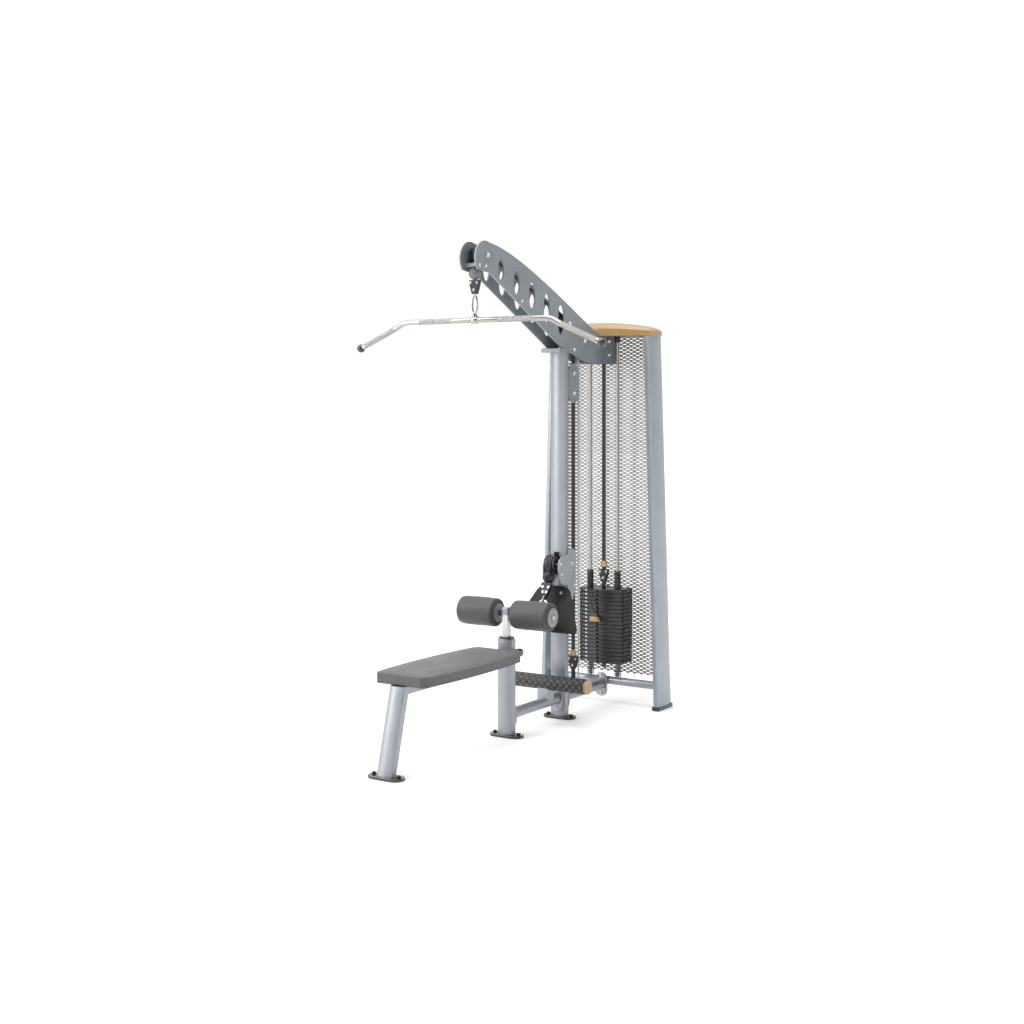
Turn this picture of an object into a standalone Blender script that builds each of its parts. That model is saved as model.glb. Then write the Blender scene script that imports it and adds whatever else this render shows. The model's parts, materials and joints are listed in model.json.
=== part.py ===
"""Lat pulldown and low row machine with a selector weight stack.

Metres, +Z up. +Y runs from the bench to the weight tower and +X is the right-hand side of a
person sitting on the bench with their back to the tower. The origin is on the floor, under the
middle of the machine. Lengths along Y are measured from the front column, which carries the boom.
"""

import math

import bmesh
import bpy
from mathutils import Matrix, Vector

# Overall sizes
LENGTH = 1.900             # front foot to the back of the tower
BAR_SPAN = 1.313           # lat bar over its ball ends
TOWER_HEIGHT = 1.8375      # tower columns, floor to top
SEAT_HEIGHT = 0.406        # top of the seat pad

# Clearances
GAP = 0.0003               # between pieces that touch
RUN = 0.0010               # between a guide and what slides or turns on it

# Spacing along the machine
COLUMN_TO_STACK = 0.430    # front column to the guide rods
COLUMN_TO_POST = 0.463     # front column to the bench post
STACK_TO_REAR = 0.085      # guide rods to the back of the tower

# Frame tubes
TUBE_WIDTH = 0.080         # flat-sided oval tube of the column, the post and the leg
TUBE_DEPTH = 0.050
TUBE_BULGE = 0.009         # how far its front and back faces are crowned
TUBE_WALL = 0.003
RAIL_DIAMETER = 0.050      # floor rail and base rail
RAIL_HEIGHT = 0.095        # their axis above the floor
RAIL_WALL = 0.003

# Feet
FOOT_LENGTH = 0.170
FOOT_DEPTH = 0.080
FOOT_THICKNESS = 0.012

# Front column
CAP_DROP = 0.0925          # tower's top down to the underside of the column's cap
CAP_THICKNESS = 0.020
CAP_WIDTH = 0.104
CAP_FRONT = 0.085          # from the column's axis to the front of the cap
CAP_BACK = 0.045
SLOT_WIDTH = 0.036         # belt slot through the column at the low pulley
SLOT_HEIGHT = 0.110
NOTCH_FRONT = 0.047        # column's axis forward to the front of the boom's foot

# Boom
PLATE_THICKNESS = 0.008
PLATE_SPACING = 0.072      # between the inner faces of the two boom plates
HEAD_REACH = 0.680         # column axis to the head pulley's axle
HEAD_RISE = 0.3175         # tower's top up to the head pulley's axle
HEAD_RADIUS = 0.079
HEAD_BACK = 0.017          # head pulley's axle forward to the middle of the round head
HEAD_LOWER = 0.016         # and down to it
OVAL_START = 0.106         # head pulley's axle to the first oval
OVAL_START_DROP = 0.053
OVAL_STEP_DROP = 0.0507    # each oval under the one before
TAIL_REACH = 0.476         # column axis to the back end of the boom plates
TAIL_DEPTH = 0.138         # height of the boom plates' straight tail
TAIL_START = 0.312         # column axis to where the arch leaves the straight tail
ARCH_HEAD_RISE = 0.032     # head pulley's axle up to the arch's handle there
ARCH_REACH = 0.050         # column axis forward to the arch's first handle
CHIN_FRONT = (0.030, 0.055)   # round head's middle forward and down to the chin's front corner
CHIN_BACK = (0.028, 0.059)    # and back and down to its back corner
HEEL_DROP = (0.005, 0.032)    # column's top down to the two ends of the heel's curve
HEEL_REACH = (0.140, 0.200, 0.270)   # column axis to that curve's handles and end
ARCH_LIFT = 0.160          # how high the arch's first handle stands over the tail
ARCH_HANDLE = 0.250        # length of the arch's handle at the head
OVAL_COUNT = 5
OVAL_PITCH = 0.129
OVAL_FIRST_WIDTH = 0.046
OVAL_LAST_WIDTH = 0.062
OVAL_FIRST_HEIGHT = 0.100
OVAL_LAST_HEIGHT = 0.148

# Pulleys and belts
PULLEY_RADIUS = 0.0385     # over the flanges
FLANGE_LIP = 0.0035        # flange beyond the seat of the belt
PULLEY_WIDTH = 0.028
AXLE_RADIUS = 0.0060
BELT_WIDTH = 0.020
BELT_THICKNESS = 0.003
GUIDE_RADIUS = 0.009       # guide rollers under the head pulley
GUIDE_GAP = 0.0055         # head pulley's rim down to the guide rollers' axles
BOOM_PULLEY_RISE = 0.0475  # tower's top up to the boom pulley's axle
REAR_PULLEY_DROP = 0.0325  # tower's top down to the rear pulley's axle
TOWER_PULLEY_DROP = 0.0455 # and to the tower pulley's axle
LOW_PULLEY_HEIGHT = 0.740
REDIRECT_FLANGE = 0.0300
REDIRECT_SEAT = 0.0270

# Travelling pulley block
BLOCK_DROP = 0.237         # tower's top down to its middle
BLOCK_OFFSET = 0.0905      # behind the column's axis
BLOCK_PITCH = 0.097        # between its two axles
BLOCK_PLATE = 0.004
BLOCK_SIDE_CLEARANCE = 0.008
BLOCK_MARGIN = 0.009       # cheek beyond the pulley flange
BLOCK_ROD_OFFSET = 0.176   # slim guide rod behind the block
BLOCK_ROD_RADIUS = 0.005
ANCHOR_HEIGHT = 0.155      # top of the belt anchor above the base rail

# Weight tower
COLUMN_THICKNESS = 0.036   # tower column across the machine
COLUMN_DEPTH = 0.146       # and along it
TOP_HALF_SPAN = 0.286      # outer face of a tower column at the top
BOTTOM_HALF_SPAN = 0.342   # and at the floor
COLUMN_CROWN = 0.006       # crown of its inner and outer faces
TOWER_FOOT_THICKNESS = 0.020
TOWER_FOOT_MARGIN = 0.002
CROSS_RAIL_DIAMETER = 0.040
CROSS_RAIL_HEIGHT = 0.112
BEAM_DEPTH = 0.080
BEAM_THICKNESS = 0.030
LID_HEIGHT = 0.067
LID_FRONT = 0.105          # guide rods to the crown of the lid's front
LID_WALL = 0.004
LID_OVERHANG = 0.008       # beyond the tower columns' outer faces
LID_CROWN = 0.050          # how far the lid's front is crowned
LID_CORNER = 0.020         # its back corners
LID_SHOULDER = (0.010, 0.012) # in from the lid's side and down from its top to its shoulder
LID_EAVE = 0.030           # down from its top to where the side begins
LID_TOP_INSET = 0.034      # in from its side to the edge of the flat top
PANEL_THICKNESS = 0.003
PANEL_LIFT = 0.030         # cross rail's axis up to the panel's lower edge
PANEL_MARGIN = 0.004       # panel to the tower columns' inner faces

# Weight stack
PLATE_COUNT = 19
PLATE_PITCH = 0.0195
PLATE_GROOVE = 0.0022      # rounded seam between two plates
PANEL_BEHIND = 0.006       # plates' back to the panel
LIFTED_COUNT = 7           # plates over the selector pin, under the top plate
STACK_BOTTOM = 0.2035
STACK_HALF_WIDTH = 0.125
STACK_FRONT = 0.030        # guide rods to the plates' front corners
STACK_CROWN = 0.038        # how far the front face is crowned
STACK_BACK = 0.070         # guide rods to the plates' back
ROD_SPACING = 0.156
ROD_RADIUS = 0.0095
SLEEVE_RADIUS = 0.016
SLEEVE_LENGTH = 0.088
CLAMP_HEIGHT = 0.094       # belt clamp's top above the stack
STEM_RADIUS = 0.011
PIN_RADIUS = 0.005
PIN_HANDLE = 0.024         # width of the pin's handle
PIN_HANDLE_LENGTH = 0.022
PIN_HANDLE_GAP = 0.006     # plates' front to the pin's handle
BUMPER_RADIUS = 0.022

# Bench
SEAT_LENGTH = 0.740
SEAT_WIDTH = 0.290
SEAT_END_WIDTH = 0.245
SEAT_THICKNESS = 0.047
SEAT_EDGE = 0.012          # rounding of its upper edge
SEAT_TO_POST = 0.062       # back of the seat to the post's axis
LEG_LEAN = 0.090           # the leg's top stands this far behind its foot
SEAT_RAIL_WIDTH = 0.050
SEAT_RAIL_HEIGHT = 0.036
POST_HEIGHT = 0.430
COLLAR_HEIGHT = 0.011

# Thigh pad
THIGH_BAR = 0.030          # square bar
THIGH_AXLE_HEIGHT = 0.555
THIGH_BAR_TOP = 0.026      # bar above the axle
THIGH_BAR_HIDDEN = 0.200   # bar inside the post
ROLLER_RADIUS = 0.065
ROLLER_LENGTH = 0.200
ROLLER_INNER = 0.043       # machine's middle to the roller's inner face
ROLLER_EDGE = 0.013        # rounding of a roller's ends
ROLLER_AXLE_RADIUS = 0.0125
KNOB_RADIUS = 0.018
KNOB_HEIGHT = 0.385
KNOB_STEPS = (0.006, 0.010, 0.020, 0.036, 0.042)   # post's side to the stem's end, neck and knob

# Footrest
FOOTREST_REACH = 0.130     # in front of the column's axis
FOOTREST_HEIGHT = 0.190
FOOTREST_RADIUS = 0.035
FOOTREST_LENGTH = 0.470
BRACKET_WIDTH = 0.060
BRACKET_DEPTH = 0.050

# Shin guard in front of the column
GUARD_TOP = 0.634
GUARD_BOTTOM = 0.430
GUARD_TOP_HALF = 0.082
GUARD_BOTTOM_HALF = 0.185
GUARD_TOP_REACH = 0.050
GUARD_BOTTOM_REACH = 0.150
GUARD_THICKNESS = 0.005
GUARD_TAB_HALF = 0.030     # half width of the tab that holds it to the column
GUARD_TAB_HEIGHT = 0.030
GUARD_TAB_SINK = 0.012     # how far the tab's lower edge reaches into the sloping sheet

# Lat bar and its hanger
STOP_RADIUS = 0.028
STOP_GAP = 0.037           # guide rollers' axles down to the stop ball's middle
BAR_DROP_BELOW_HEAD = 0.285
BAR_RADIUS = 0.0125
BAR_STRAIGHT = 0.360       # middle of the bar to the start of each bend
BAR_DROP = 0.112           # ball ends below the middle
BALL_RADIUS = 0.0195
CLEVIS_LENGTH = 0.062
CLEVIS_TOP_HALF = 0.026
CLEVIS_FOOT_HALF = 0.012
CLEVIS_DEPTH = 0.020
LINK_RADIUS = 0.0045
LINK_HALF_WIDTH = 0.0125
LINK_CLEARANCE = 0.0025    # between the clamp and the snap link that swings under it
HUB_RADIUS = 0.011
HUB_HEIGHT = 0.014         # above the bar

# Row handle
ROW_STOP_HEIGHT = 0.682
ROW_LEAN = math.radians(21.0)
ROW_STUD = 0.015           # stud under the clamp of the low belt
ROW_LINK = 0.115           # stop ball to the top of the handle
HANDLE_HALF = 0.085
HANDLE_DROP = 0.100        # top of the handle to its grip
GRIP_RADIUS = 0.0145
GRIP_END = 0.010           # strap to the end of the grip
HANDLE_RADIUS = 0.008

# Places worked out from the sizes above
COLUMN_HEIGHT = TOWER_HEIGHT - CAP_DROP
HEAD_HEIGHT = TOWER_HEIGHT + HEAD_RISE
BOOM_PULLEY_HEIGHT = TOWER_HEIGHT + BOOM_PULLEY_RISE
REAR_PULLEY_HEIGHT = TOWER_HEIGHT - REAR_PULLEY_DROP
TOWER_PULLEY_HEIGHT = TOWER_HEIGHT - TOWER_PULLEY_DROP
BLOCK_HEIGHT = TOWER_HEIGHT - BLOCK_DROP
BAR_HEIGHT = HEAD_HEIGHT - BAR_DROP_BELOW_HEAD
SEAT_RADIUS = PULLEY_RADIUS - FLANGE_LIP
GUIDE_DROP = PULLEY_RADIUS + GUIDE_GAP
LAT_STOP_HEIGHT = HEAD_HEIGHT - GUIDE_DROP - STOP_GAP
REAR_Y = LENGTH / 2
STACK_Y = REAR_Y - STACK_TO_REAR
COLUMN_Y = STACK_Y - COLUMN_TO_STACK
POST_Y = COLUMN_Y - COLUMN_TO_POST
LEG_FOOT_Y = -LENGTH / 2 + FOOT_DEPTH / 2
LEG_TOP_Y = LEG_FOOT_Y + LEG_LEAN
TOWER_Y = REAR_Y - TOWER_FOOT_MARGIN - COLUMN_DEPTH / 2
CAP_TOP = COLUMN_HEIGHT + CAP_THICKNESS
BELT_RADIUS = SEAT_RADIUS + BELT_THICKNESS / 2
HEAD_Y = COLUMN_Y - HEAD_REACH
LAT_Y = HEAD_Y - BELT_RADIUS
BLOCK_Y = COLUMN_Y + BLOCK_OFFSET
BOOM_PULLEY_Y = BLOCK_Y - 2 * BELT_RADIUS
REAR_PULLEY_Y = BLOCK_Y + 2 * BELT_RADIUS
TOWER_PULLEY_Y = STACK_Y - BELT_RADIUS
LOW_PULLEY_Y = COLUMN_Y - TUBE_DEPTH / 2 - PULLEY_RADIUS - 3 * RUN
REDIRECT_Y = BLOCK_Y - BELT_RADIUS - REDIRECT_SEAT - BELT_THICKNESS / 2
ROW_Y = LOW_PULLEY_Y - BELT_RADIUS
STACK_TOP = STACK_BOTTOM + PLATE_COUNT * PLATE_PITCH
SPLIT_HEIGHT = STACK_TOP - (LIFTED_COUNT + 1) * PLATE_PITCH
PIN_HEIGHT = SPLIT_HEIGHT + PLATE_PITCH / 2
SEAT_BACK_Y = POST_Y - SEAT_TO_POST
SEAT_FRONT_Y = SEAT_BACK_Y - SEAT_LENGTH
SEAT_BASE = SEAT_HEIGHT - SEAT_THICKNESS
RAIL_TOP = SEAT_BASE - GAP
RAIL_BOTTOM = RAIL_TOP - SEAT_RAIL_HEIGHT
CLEVIS_TOP = LAT_STOP_HEIGHT - STOP_RADIUS - GAP
LINK_TOP = CLEVIS_TOP - CLEVIS_LENGTH - LINK_CLEARANCE
SIDES = {"right": 1, "left": -1}

for old in list(bpy.data.objects):
    bpy.data.objects.remove(old)


# ---------------------------------------------------------------- materials

def material(name, colour, roughness, metallic):
    """A plain Principled material."""
    made = bpy.data.materials.new(name)
    made.use_nodes = True
    shader = made.node_tree.nodes["Principled BSDF"]
    shader.inputs["Base Color"].default_value = (*colour, 1.0)
    shader.inputs["Roughness"].default_value = roughness
    shader.inputs["Metallic"].default_value = metallic
    return made


SILVER = material("silver_powder_coat", (0.33, 0.35, 0.38), 0.42, 0.35)
BLUE_GREY = material("blue_grey_powder_coat", (0.16, 0.19, 0.22), 0.48, 0.20)
GOLD = material("gold_plastic", (0.52, 0.33, 0.10), 0.35, 0.10)
BLACK = material("black_gloss", (0.02, 0.02, 0.02), 0.25, 0.0)
RUBBER = material("black_rubber", (0.03, 0.03, 0.03), 0.80, 0.0)
VINYL = material("dark_grey_vinyl", (0.09, 0.09, 0.10), 0.60, 0.0)
CHROME = material("chrome", (0.75, 0.75, 0.76), 0.12, 1.0)
STEEL = material("black_satin_steel", (0.03, 0.03, 0.035), 0.35, 0.6)
PANEL = material("pale_perforated_panel", (0.55, 0.54, 0.52), 0.60, 0.1)


# ---------------------------------------------------------------- outlines

def circle(radius, steps=24, centre=(0.0, 0.0)):
    """Points of a circle."""
    turns = [2 * math.pi * i / steps for i in range(steps)]
    return [(centre[0] + radius * math.cos(t), centre[1] + radius * math.sin(t)) for t in turns]


def ellipse(width, height, centre, steps=24):
    """Points of an upright oval."""
    return [(centre[0] + width * u, centre[1] + height * v) for u, v in circle(0.5, steps)]


def rectangle(left, right, low, high):
    """Corners of a rectangle."""
    return [(left, low), (right, low), (right, high), (left, high)]


def stadium(length, depth, centre, steps=10):
    """A plate with two round ends, long in its first direction."""
    points = []
    for side in (1, -1):
        for i in range(steps + 1):
            turn = side * (math.pi / 2) - side * math.pi * i / steps
            u = side * (length - depth) / 2 + side * math.cos(turn) * depth / 2
            points.append((centre[0] + u, centre[1] + math.sin(turn) * depth / 2))
    return points


def oval_tube(width, depth, bulge, centre, steps=8):
    """Flat sides, crowned front and back."""
    points = []
    for side in (1, -1):
        for i in range(steps + 1):
            u = side * width * (0.5 - i / steps)
            crown = bulge * (1 - (2 * u / width) ** 2)
            points.append((centre[0] + u, centre[1] + side * (depth / 2 - bulge + crown)))
    return points


def bezier(start, start_handle, end_handle, end, steps):
    """Points of a cubic curve, both ends included."""
    points = []
    for i in range(steps + 1):
        t = i / steps
        weights = ((1 - t) ** 3, 3 * t * (1 - t) ** 2, 3 * t * t * (1 - t), t ** 3)
        corners = (start, start_handle, end_handle, end)
        points.append(tuple(sum(w * c[k] for w, c in zip(weights, corners)) for k in (0, 1)))
    return points


# ---------------------------------------------------------------- solids

def place(point, along, axis):
    """A point of an outline, set at a distance along the axis."""
    u, v = point
    return {"X": (along, u, v), "Y": (u, along, v), "Z": (u, v, along)}[axis]


def loft(bm, rings):
    """Skin equal rings of points in order and close both ends."""
    loops = [[bm.verts.new(point) for point in ring] for ring in rings]
    count = len(loops[0])
    for low, high in zip(loops, loops[1:]):
        for i in range(count):
            j = (i + 1) % count
            bm.faces.new((low[i], low[j], high[j], high[i]))
    bm.faces.new(reversed(loops[0]))
    bm.faces.new(loops[-1])


def prism(bm, outline, axis, low, high, shift=(0.0, 0.0)):
    """Extrude an outline along an axis; shift moves its far end sideways."""
    moved = [(u + shift[0], v + shift[1]) for u, v in outline]
    loft(bm, [[place(p, low, axis) for p in outline], [place(p, high, axis) for p in moved]])


def tube(bm, outer, inner, axis, low, high, shift=(0.0, 0.0)):
    """A hollow extrusion with open ends; both outlines have the same count of points."""
    rings = []
    for outline in (outer, inner):
        moved = [(u + shift[0], v + shift[1]) for u, v in outline]
        rings.append([bm.verts.new(place(p, low, axis)) for p in outline])
        rings.append([bm.verts.new(place(p, high, axis)) for p in moved])
    outer_low, outer_high, inner_low, inner_high = rings
    around = (outer_low, outer_high, inner_high, inner_low, outer_low)
    for first, second in zip(around, around[1:]):
        for i in range(len(outer)):
            j = (i + 1) % len(outer)
            bm.faces.new((first[i], first[j], second[j], second[i]))


def turned(bm, profile, axis, centre, steps=28):
    """Turn (radius, along) points round an axis; radius 0 closes an end, else it is a ring."""
    rows = []
    for radius, along in profile:
        ring = circle(radius, steps) if radius > 0 else [(0.0, 0.0)]
        rows.append([bm.verts.new(Vector(place(p, along, axis)) + Vector(centre)) for p in ring])
    if profile[0][0] > 0:
        rows.append(rows[0])
    for low, high in zip(rows, rows[1:]):
        for i in range(steps):
            j = (i + 1) % steps
            corners = (low[i % len(low)], low[j % len(low)], high[j % len(high)], high[i % len(high)])
            bm.faces.new(dict.fromkeys(corners))


def ball(bm, centre, radius, rows=12, steps=24):
    """A sphere."""
    angles = [math.pi * i / rows for i in range(rows + 1)]
    profile = [(radius * math.sin(a), -radius * math.cos(a)) for a in angles]
    profile[0] = (0.0, -radius)
    profile[-1] = (0.0, radius)
    turned(bm, profile, "Z", centre, steps)


def rod(bm, axis, centre, radius, low, high, steps=20):
    """A plain round bar; centre gives the two places across the axis."""
    prism(bm, circle(radius, steps, centre), axis, low, high)


def bent_rod(bm, points, radius, steps=16):
    """A round bar along a bent line, with square-cut ends."""
    path = [Vector(p) for p in points]
    rings = []
    for i, here in enumerate(path):
        before = path[max(i - 1, 0)]
        after = path[min(i + 1, len(path) - 1)]
        tangent = (after - before).normalized()
        side = tangent.cross(Vector((0.0, 1.0, 0.0))).normalized()
        up = side.cross(tangent)
        rings.append([here + side * u + up * v for u, v in circle(radius, steps)])
    loft(bm, rings)


def finish(name, bm, finish_material, pivot=(0.0, 0.0, 0.0), carrier=None):
    """Make the object, with its origin at pivot and its carrier as parent."""
    bmesh.ops.recalc_face_normals(bm, faces=bm.faces)
    bmesh.ops.translate(bm, verts=bm.verts, vec=-Vector(pivot))
    mesh = bpy.data.meshes.new(name)
    bm.to_mesh(mesh)
    bm.free()
    mesh.materials.append(finish_material)
    mesh.shade_smooth()
    mesh.set_sharp_from_angle(angle=math.radians(35))
    obj = bpy.data.objects.new(name, mesh)
    bpy.context.collection.objects.link(obj)
    obj.location = pivot
    if carrier:
        obj.parent = carrier
        obj.location = Vector(pivot) - carrier.location
    return obj


def empty(name, location):
    """A carrier that moving pieces are parented to, on its joint's axis."""
    made = bpy.data.objects.new(name, None)
    made.location = location
    bpy.context.collection.objects.link(made)
    return made


def combine(target, bm, operation, name):
    """Join a shape to an object or cut it from it, with a hidden helper object."""
    bmesh.ops.recalc_face_normals(bm, faces=bm.faces)
    mesh = bpy.data.meshes.new(name)
    bm.to_mesh(mesh)
    bm.free()
    helper = bpy.data.objects.new(name, mesh)
    bpy.context.collection.objects.link(helper)
    helper.hide_render = True
    helper.display_type = "WIRE"
    modifier = target.modifiers.new(name, "BOOLEAN")
    modifier.operation = operation
    modifier.object = helper
    modifier.solver = "EXACT"


# ---------------------------------------------------------------- frame

def tower_half_span(height):
    """Outer face of a tower column at a height."""
    share = height / TOWER_HEIGHT
    return BOTTOM_HALF_SPAN + (TOP_HALF_SPAN - BOTTOM_HALF_SPAN) * share


def make_feet():
    """Floor plates with round ends, and the soles of the tower columns."""
    for name, y in (("leg_foot", LEG_FOOT_Y), ("post_foot", POST_Y), ("column_foot", COLUMN_Y)):
        bm = bmesh.new()
        prism(bm, stadium(FOOT_LENGTH, FOOT_DEPTH, (0.0, y)), "Z", 0.0, FOOT_THICKNESS)
        finish(name, bm, BLACK)
    for side, sign in SIDES.items():
        middle = sign * (BOTTOM_HALF_SPAN - COLUMN_THICKNESS / 2)
        half = COLUMN_THICKNESS / 2 + TOWER_FOOT_MARGIN
        front = REAR_Y - COLUMN_DEPTH - 2 * TOWER_FOOT_MARGIN
        bm = bmesh.new()
        sole = rectangle(middle - half, middle + half, front, REAR_Y)
        prism(bm, sole, "Z", 0.0, TOWER_FOOT_THICKNESS)
        finish(f"tower_foot_{side}", bm, BLACK)


def make_column():
    """The upright that carries the boom, with the slot and the pin for the redirect pulley."""
    outer = oval_tube(TUBE_WIDTH, TUBE_DEPTH, TUBE_BULGE, (0.0, COLUMN_Y))
    inner = oval_tube(TUBE_WIDTH - 2 * TUBE_WALL, TUBE_DEPTH - 2 * TUBE_WALL, TUBE_BULGE,
                      (0.0, COLUMN_Y))
    bm = bmesh.new()
    tube(bm, outer, inner, "Z", FOOT_THICKNESS + GAP, COLUMN_HEIGHT - GAP)
    column = finish("front_column", bm, SILVER)
    slot = bmesh.new()
    opening = rectangle(-SLOT_WIDTH / 2, SLOT_WIDTH / 2, LOW_PULLEY_HEIGHT - SLOT_HEIGHT / 2,
                        LOW_PULLEY_HEIGHT + SLOT_HEIGHT / 2)
    prism(slot, opening, "Y", COLUMN_Y - TUBE_DEPTH, COLUMN_Y + TUBE_DEPTH)
    combine(column, slot, "DIFFERENCE", "belt_slot")
    pin = bmesh.new()
    reach = TUBE_WIDTH / 2 - TUBE_WALL / 2
    rod(pin, "X", (REDIRECT_Y, LOW_PULLEY_HEIGHT), AXLE_RADIUS, -reach, reach)
    combine(column, pin, "UNION", "redirect_pin")

    bm = bmesh.new()
    cap = rectangle(-CAP_WIDTH / 2, CAP_WIDTH / 2, COLUMN_Y - CAP_FRONT, COLUMN_Y + CAP_BACK)
    prism(bm, cap, "Z", COLUMN_HEIGHT, CAP_TOP)
    finish("column_cap", bm, BLUE_GREY)


def boom_outline():
    """Side view of a boom plate: straight tail, arched back, round head, notch on the cap."""
    tail_top = TOWER_HEIGHT - GAP
    tail_bottom = tail_top - TAIL_DEPTH
    head = (HEAD_Y - HEAD_BACK, HEAD_HEIGHT - HEAD_LOWER)
    points = [(COLUMN_Y + TAIL_REACH, tail_bottom), (COLUMN_Y + TAIL_REACH, tail_top)]
    points += bezier((COLUMN_Y + TAIL_START, tail_top), (COLUMN_Y - ARCH_REACH, tail_top + ARCH_LIFT),
                     (HEAD_Y + ARCH_HANDLE, HEAD_HEIGHT + ARCH_HEAD_RISE),
                     (head[0] + HEAD_RADIUS * math.cos(math.radians(68)),
                      head[1] + HEAD_RADIUS * math.sin(math.radians(68))), 14)
    for degrees in range(84, 220, 15):
        turn = math.radians(degrees)
        points.append((head[0] + HEAD_RADIUS * math.cos(turn),
                       head[1] + HEAD_RADIUS * math.sin(turn)))
    points.append((head[0] - CHIN_FRONT[0], head[1] - CHIN_FRONT[1]))
    points.append((head[0] + CHIN_BACK[0], head[1] - CHIN_BACK[1]))
    notch = CAP_TOP + GAP
    points.append((COLUMN_Y - NOTCH_FRONT, notch))
    points.append((COLUMN_Y + CAP_BACK + GAP, notch))
    points += bezier((COLUMN_Y + CAP_BACK + GAP, COLUMN_HEIGHT - HEEL_DROP[0]),
                     (COLUMN_Y + HEEL_REACH[0], COLUMN_HEIGHT - HEEL_DROP[1]),
                     (COLUMN_Y + HEEL_REACH[1], tail_bottom),
                     (COLUMN_Y + HEEL_REACH[2], tail_bottom), 6)
    return points


def make_boom():
    """Two arched plates with a row of ovals; the right one holds the axles between them."""
    for side, sign in SIDES.items():
        inner = sign * PLATE_SPACING / 2
        outer = inner + sign * PLATE_THICKNESS
        bm = bmesh.new()
        prism(bm, boom_outline(), "X", min(inner, outer), max(inner, outer))
        plate = finish(f"boom_plate_{side}", bm, BLUE_GREY)
        ovals = bmesh.new()
        for i in range(OVAL_COUNT):
            share = i / (OVAL_COUNT - 1)
            width = OVAL_FIRST_WIDTH + (OVAL_LAST_WIDTH - OVAL_FIRST_WIDTH) * share
            height = OVAL_FIRST_HEIGHT + (OVAL_LAST_HEIGHT - OVAL_FIRST_HEIGHT) * share
            centre = (HEAD_Y + OVAL_START + OVAL_PITCH * i,
                      HEAD_HEIGHT - OVAL_START_DROP - OVAL_STEP_DROP * i)
            prism(ovals, ellipse(width, height, centre), "X",
                  min(inner, outer) - PLATE_THICKNESS, max(inner, outer) + PLATE_THICKNESS)
        combine(plate, ovals, "DIFFERENCE", f"ovals_{side}")
        if side == "right":
            axles = bmesh.new()
            centres = [(HEAD_Y, HEAD_HEIGHT), (BOOM_PULLEY_Y, BOOM_PULLEY_HEIGHT),
                       (REAR_PULLEY_Y, REAR_PULLEY_HEIGHT), (TOWER_PULLEY_Y, TOWER_PULLEY_HEIGHT)]
            for centre in centres:
                rod(axles, "X", centre, AXLE_RADIUS, GAP - PLATE_SPACING / 2,
                    PLATE_SPACING / 2 + PLATE_THICKNESS / 2)
            for step in (-1, 1):
                y = LAT_Y + step * (GUIDE_RADIUS + BELT_THICKNESS / 2 + 4 * RUN)
                rod(axles, "X", (y, HEAD_HEIGHT - GUIDE_DROP), GUIDE_RADIUS,
                    GAP - PLATE_SPACING / 2, PLATE_SPACING / 2 + PLATE_THICKNESS / 2)
            combine(plate, axles, "UNION", "boom_axles")


def make_tower():
    """Two leaning side columns, the rails that tie them, the back panel and the guide rods."""
    lean = TOP_HALF_SPAN - BOTTOM_HALF_SPAN
    low = TOWER_FOOT_THICKNESS + GAP
    share = low / TOWER_HEIGHT
    for side, sign in SIDES.items():
        middle = sign * (BOTTOM_HALF_SPAN - COLUMN_THICKNESS / 2)
        start = middle + sign * lean * share
        outer = side_column(start, TOWER_Y, 0.0)
        inner = side_column(start, TOWER_Y, TUBE_WALL)
        bm = bmesh.new()
        tube(bm, outer, inner, "Z", low, TOWER_HEIGHT, (sign * lean * (1 - share), 0.0))
        finish(f"tower_column_{side}", bm, BLUE_GREY)

    clear = tower_half_span(CROSS_RAIL_HEIGHT + CROSS_RAIL_DIAMETER / 2)
    half = clear - COLUMN_THICKNESS - RUN
    bm = bmesh.new()
    centre = (STACK_Y, CROSS_RAIL_HEIGHT)
    tube(bm, circle(CROSS_RAIL_DIAMETER / 2, 24, centre),
         circle(CROSS_RAIL_DIAMETER / 2 - RAIL_WALL, 24, centre), "X", -half, half)
    finish("tower_cross_rail", bm, BLUE_GREY)

    bm = bmesh.new()
    beam = rectangle(STACK_Y - BEAM_DEPTH / 2, STACK_Y + BEAM_DEPTH / 2,
                     TOWER_HEIGHT + GAP, TOWER_HEIGHT + GAP + BEAM_THICKNESS)
    prism(bm, beam, "X", COLUMN_THICKNESS / 2 - TOP_HALF_SPAN, TOP_HALF_SPAN - COLUMN_THICKNESS / 2)
    finish("tower_top_beam", bm, BLUE_GREY)

    low = CROSS_RAIL_HEIGHT + PANEL_LIFT
    outline = []
    for height in (low, TOWER_HEIGHT - 4 * GAP):
        edge = tower_half_span(height) - COLUMN_THICKNESS - PANEL_MARGIN
        outline.append((edge, height))
    outline = [(-outline[0][0], outline[0][1]), outline[0], outline[1],
               (-outline[1][0], outline[1][1])]
    bm = bmesh.new()
    back = STACK_Y + STACK_BACK + PANEL_BEHIND
    prism(bm, outline, "Y", back, back + PANEL_THICKNESS)
    finish("back_panel", bm, PANEL)

    for side, sign in SIDES.items():
        bm = bmesh.new()
        rod(bm, "Z", (sign * ROD_SPACING / 2, STACK_Y), ROD_RADIUS,
            CROSS_RAIL_HEIGHT + CROSS_RAIL_DIAMETER / 2 + GAP, TOWER_HEIGHT, 24)
        finish(f"guide_rod_{side}", bm, CHROME)
    bm = bmesh.new()
    rod(bm, "Z", (0.0, COLUMN_Y + BLOCK_ROD_OFFSET), BLOCK_ROD_RADIUS,
        RAIL_HEIGHT + RAIL_DIAMETER / 2 + GAP, TOWER_HEIGHT - TAIL_DEPTH + 0.03, 16)
    finish("block_guide_rod", bm, CHROME)


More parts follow.
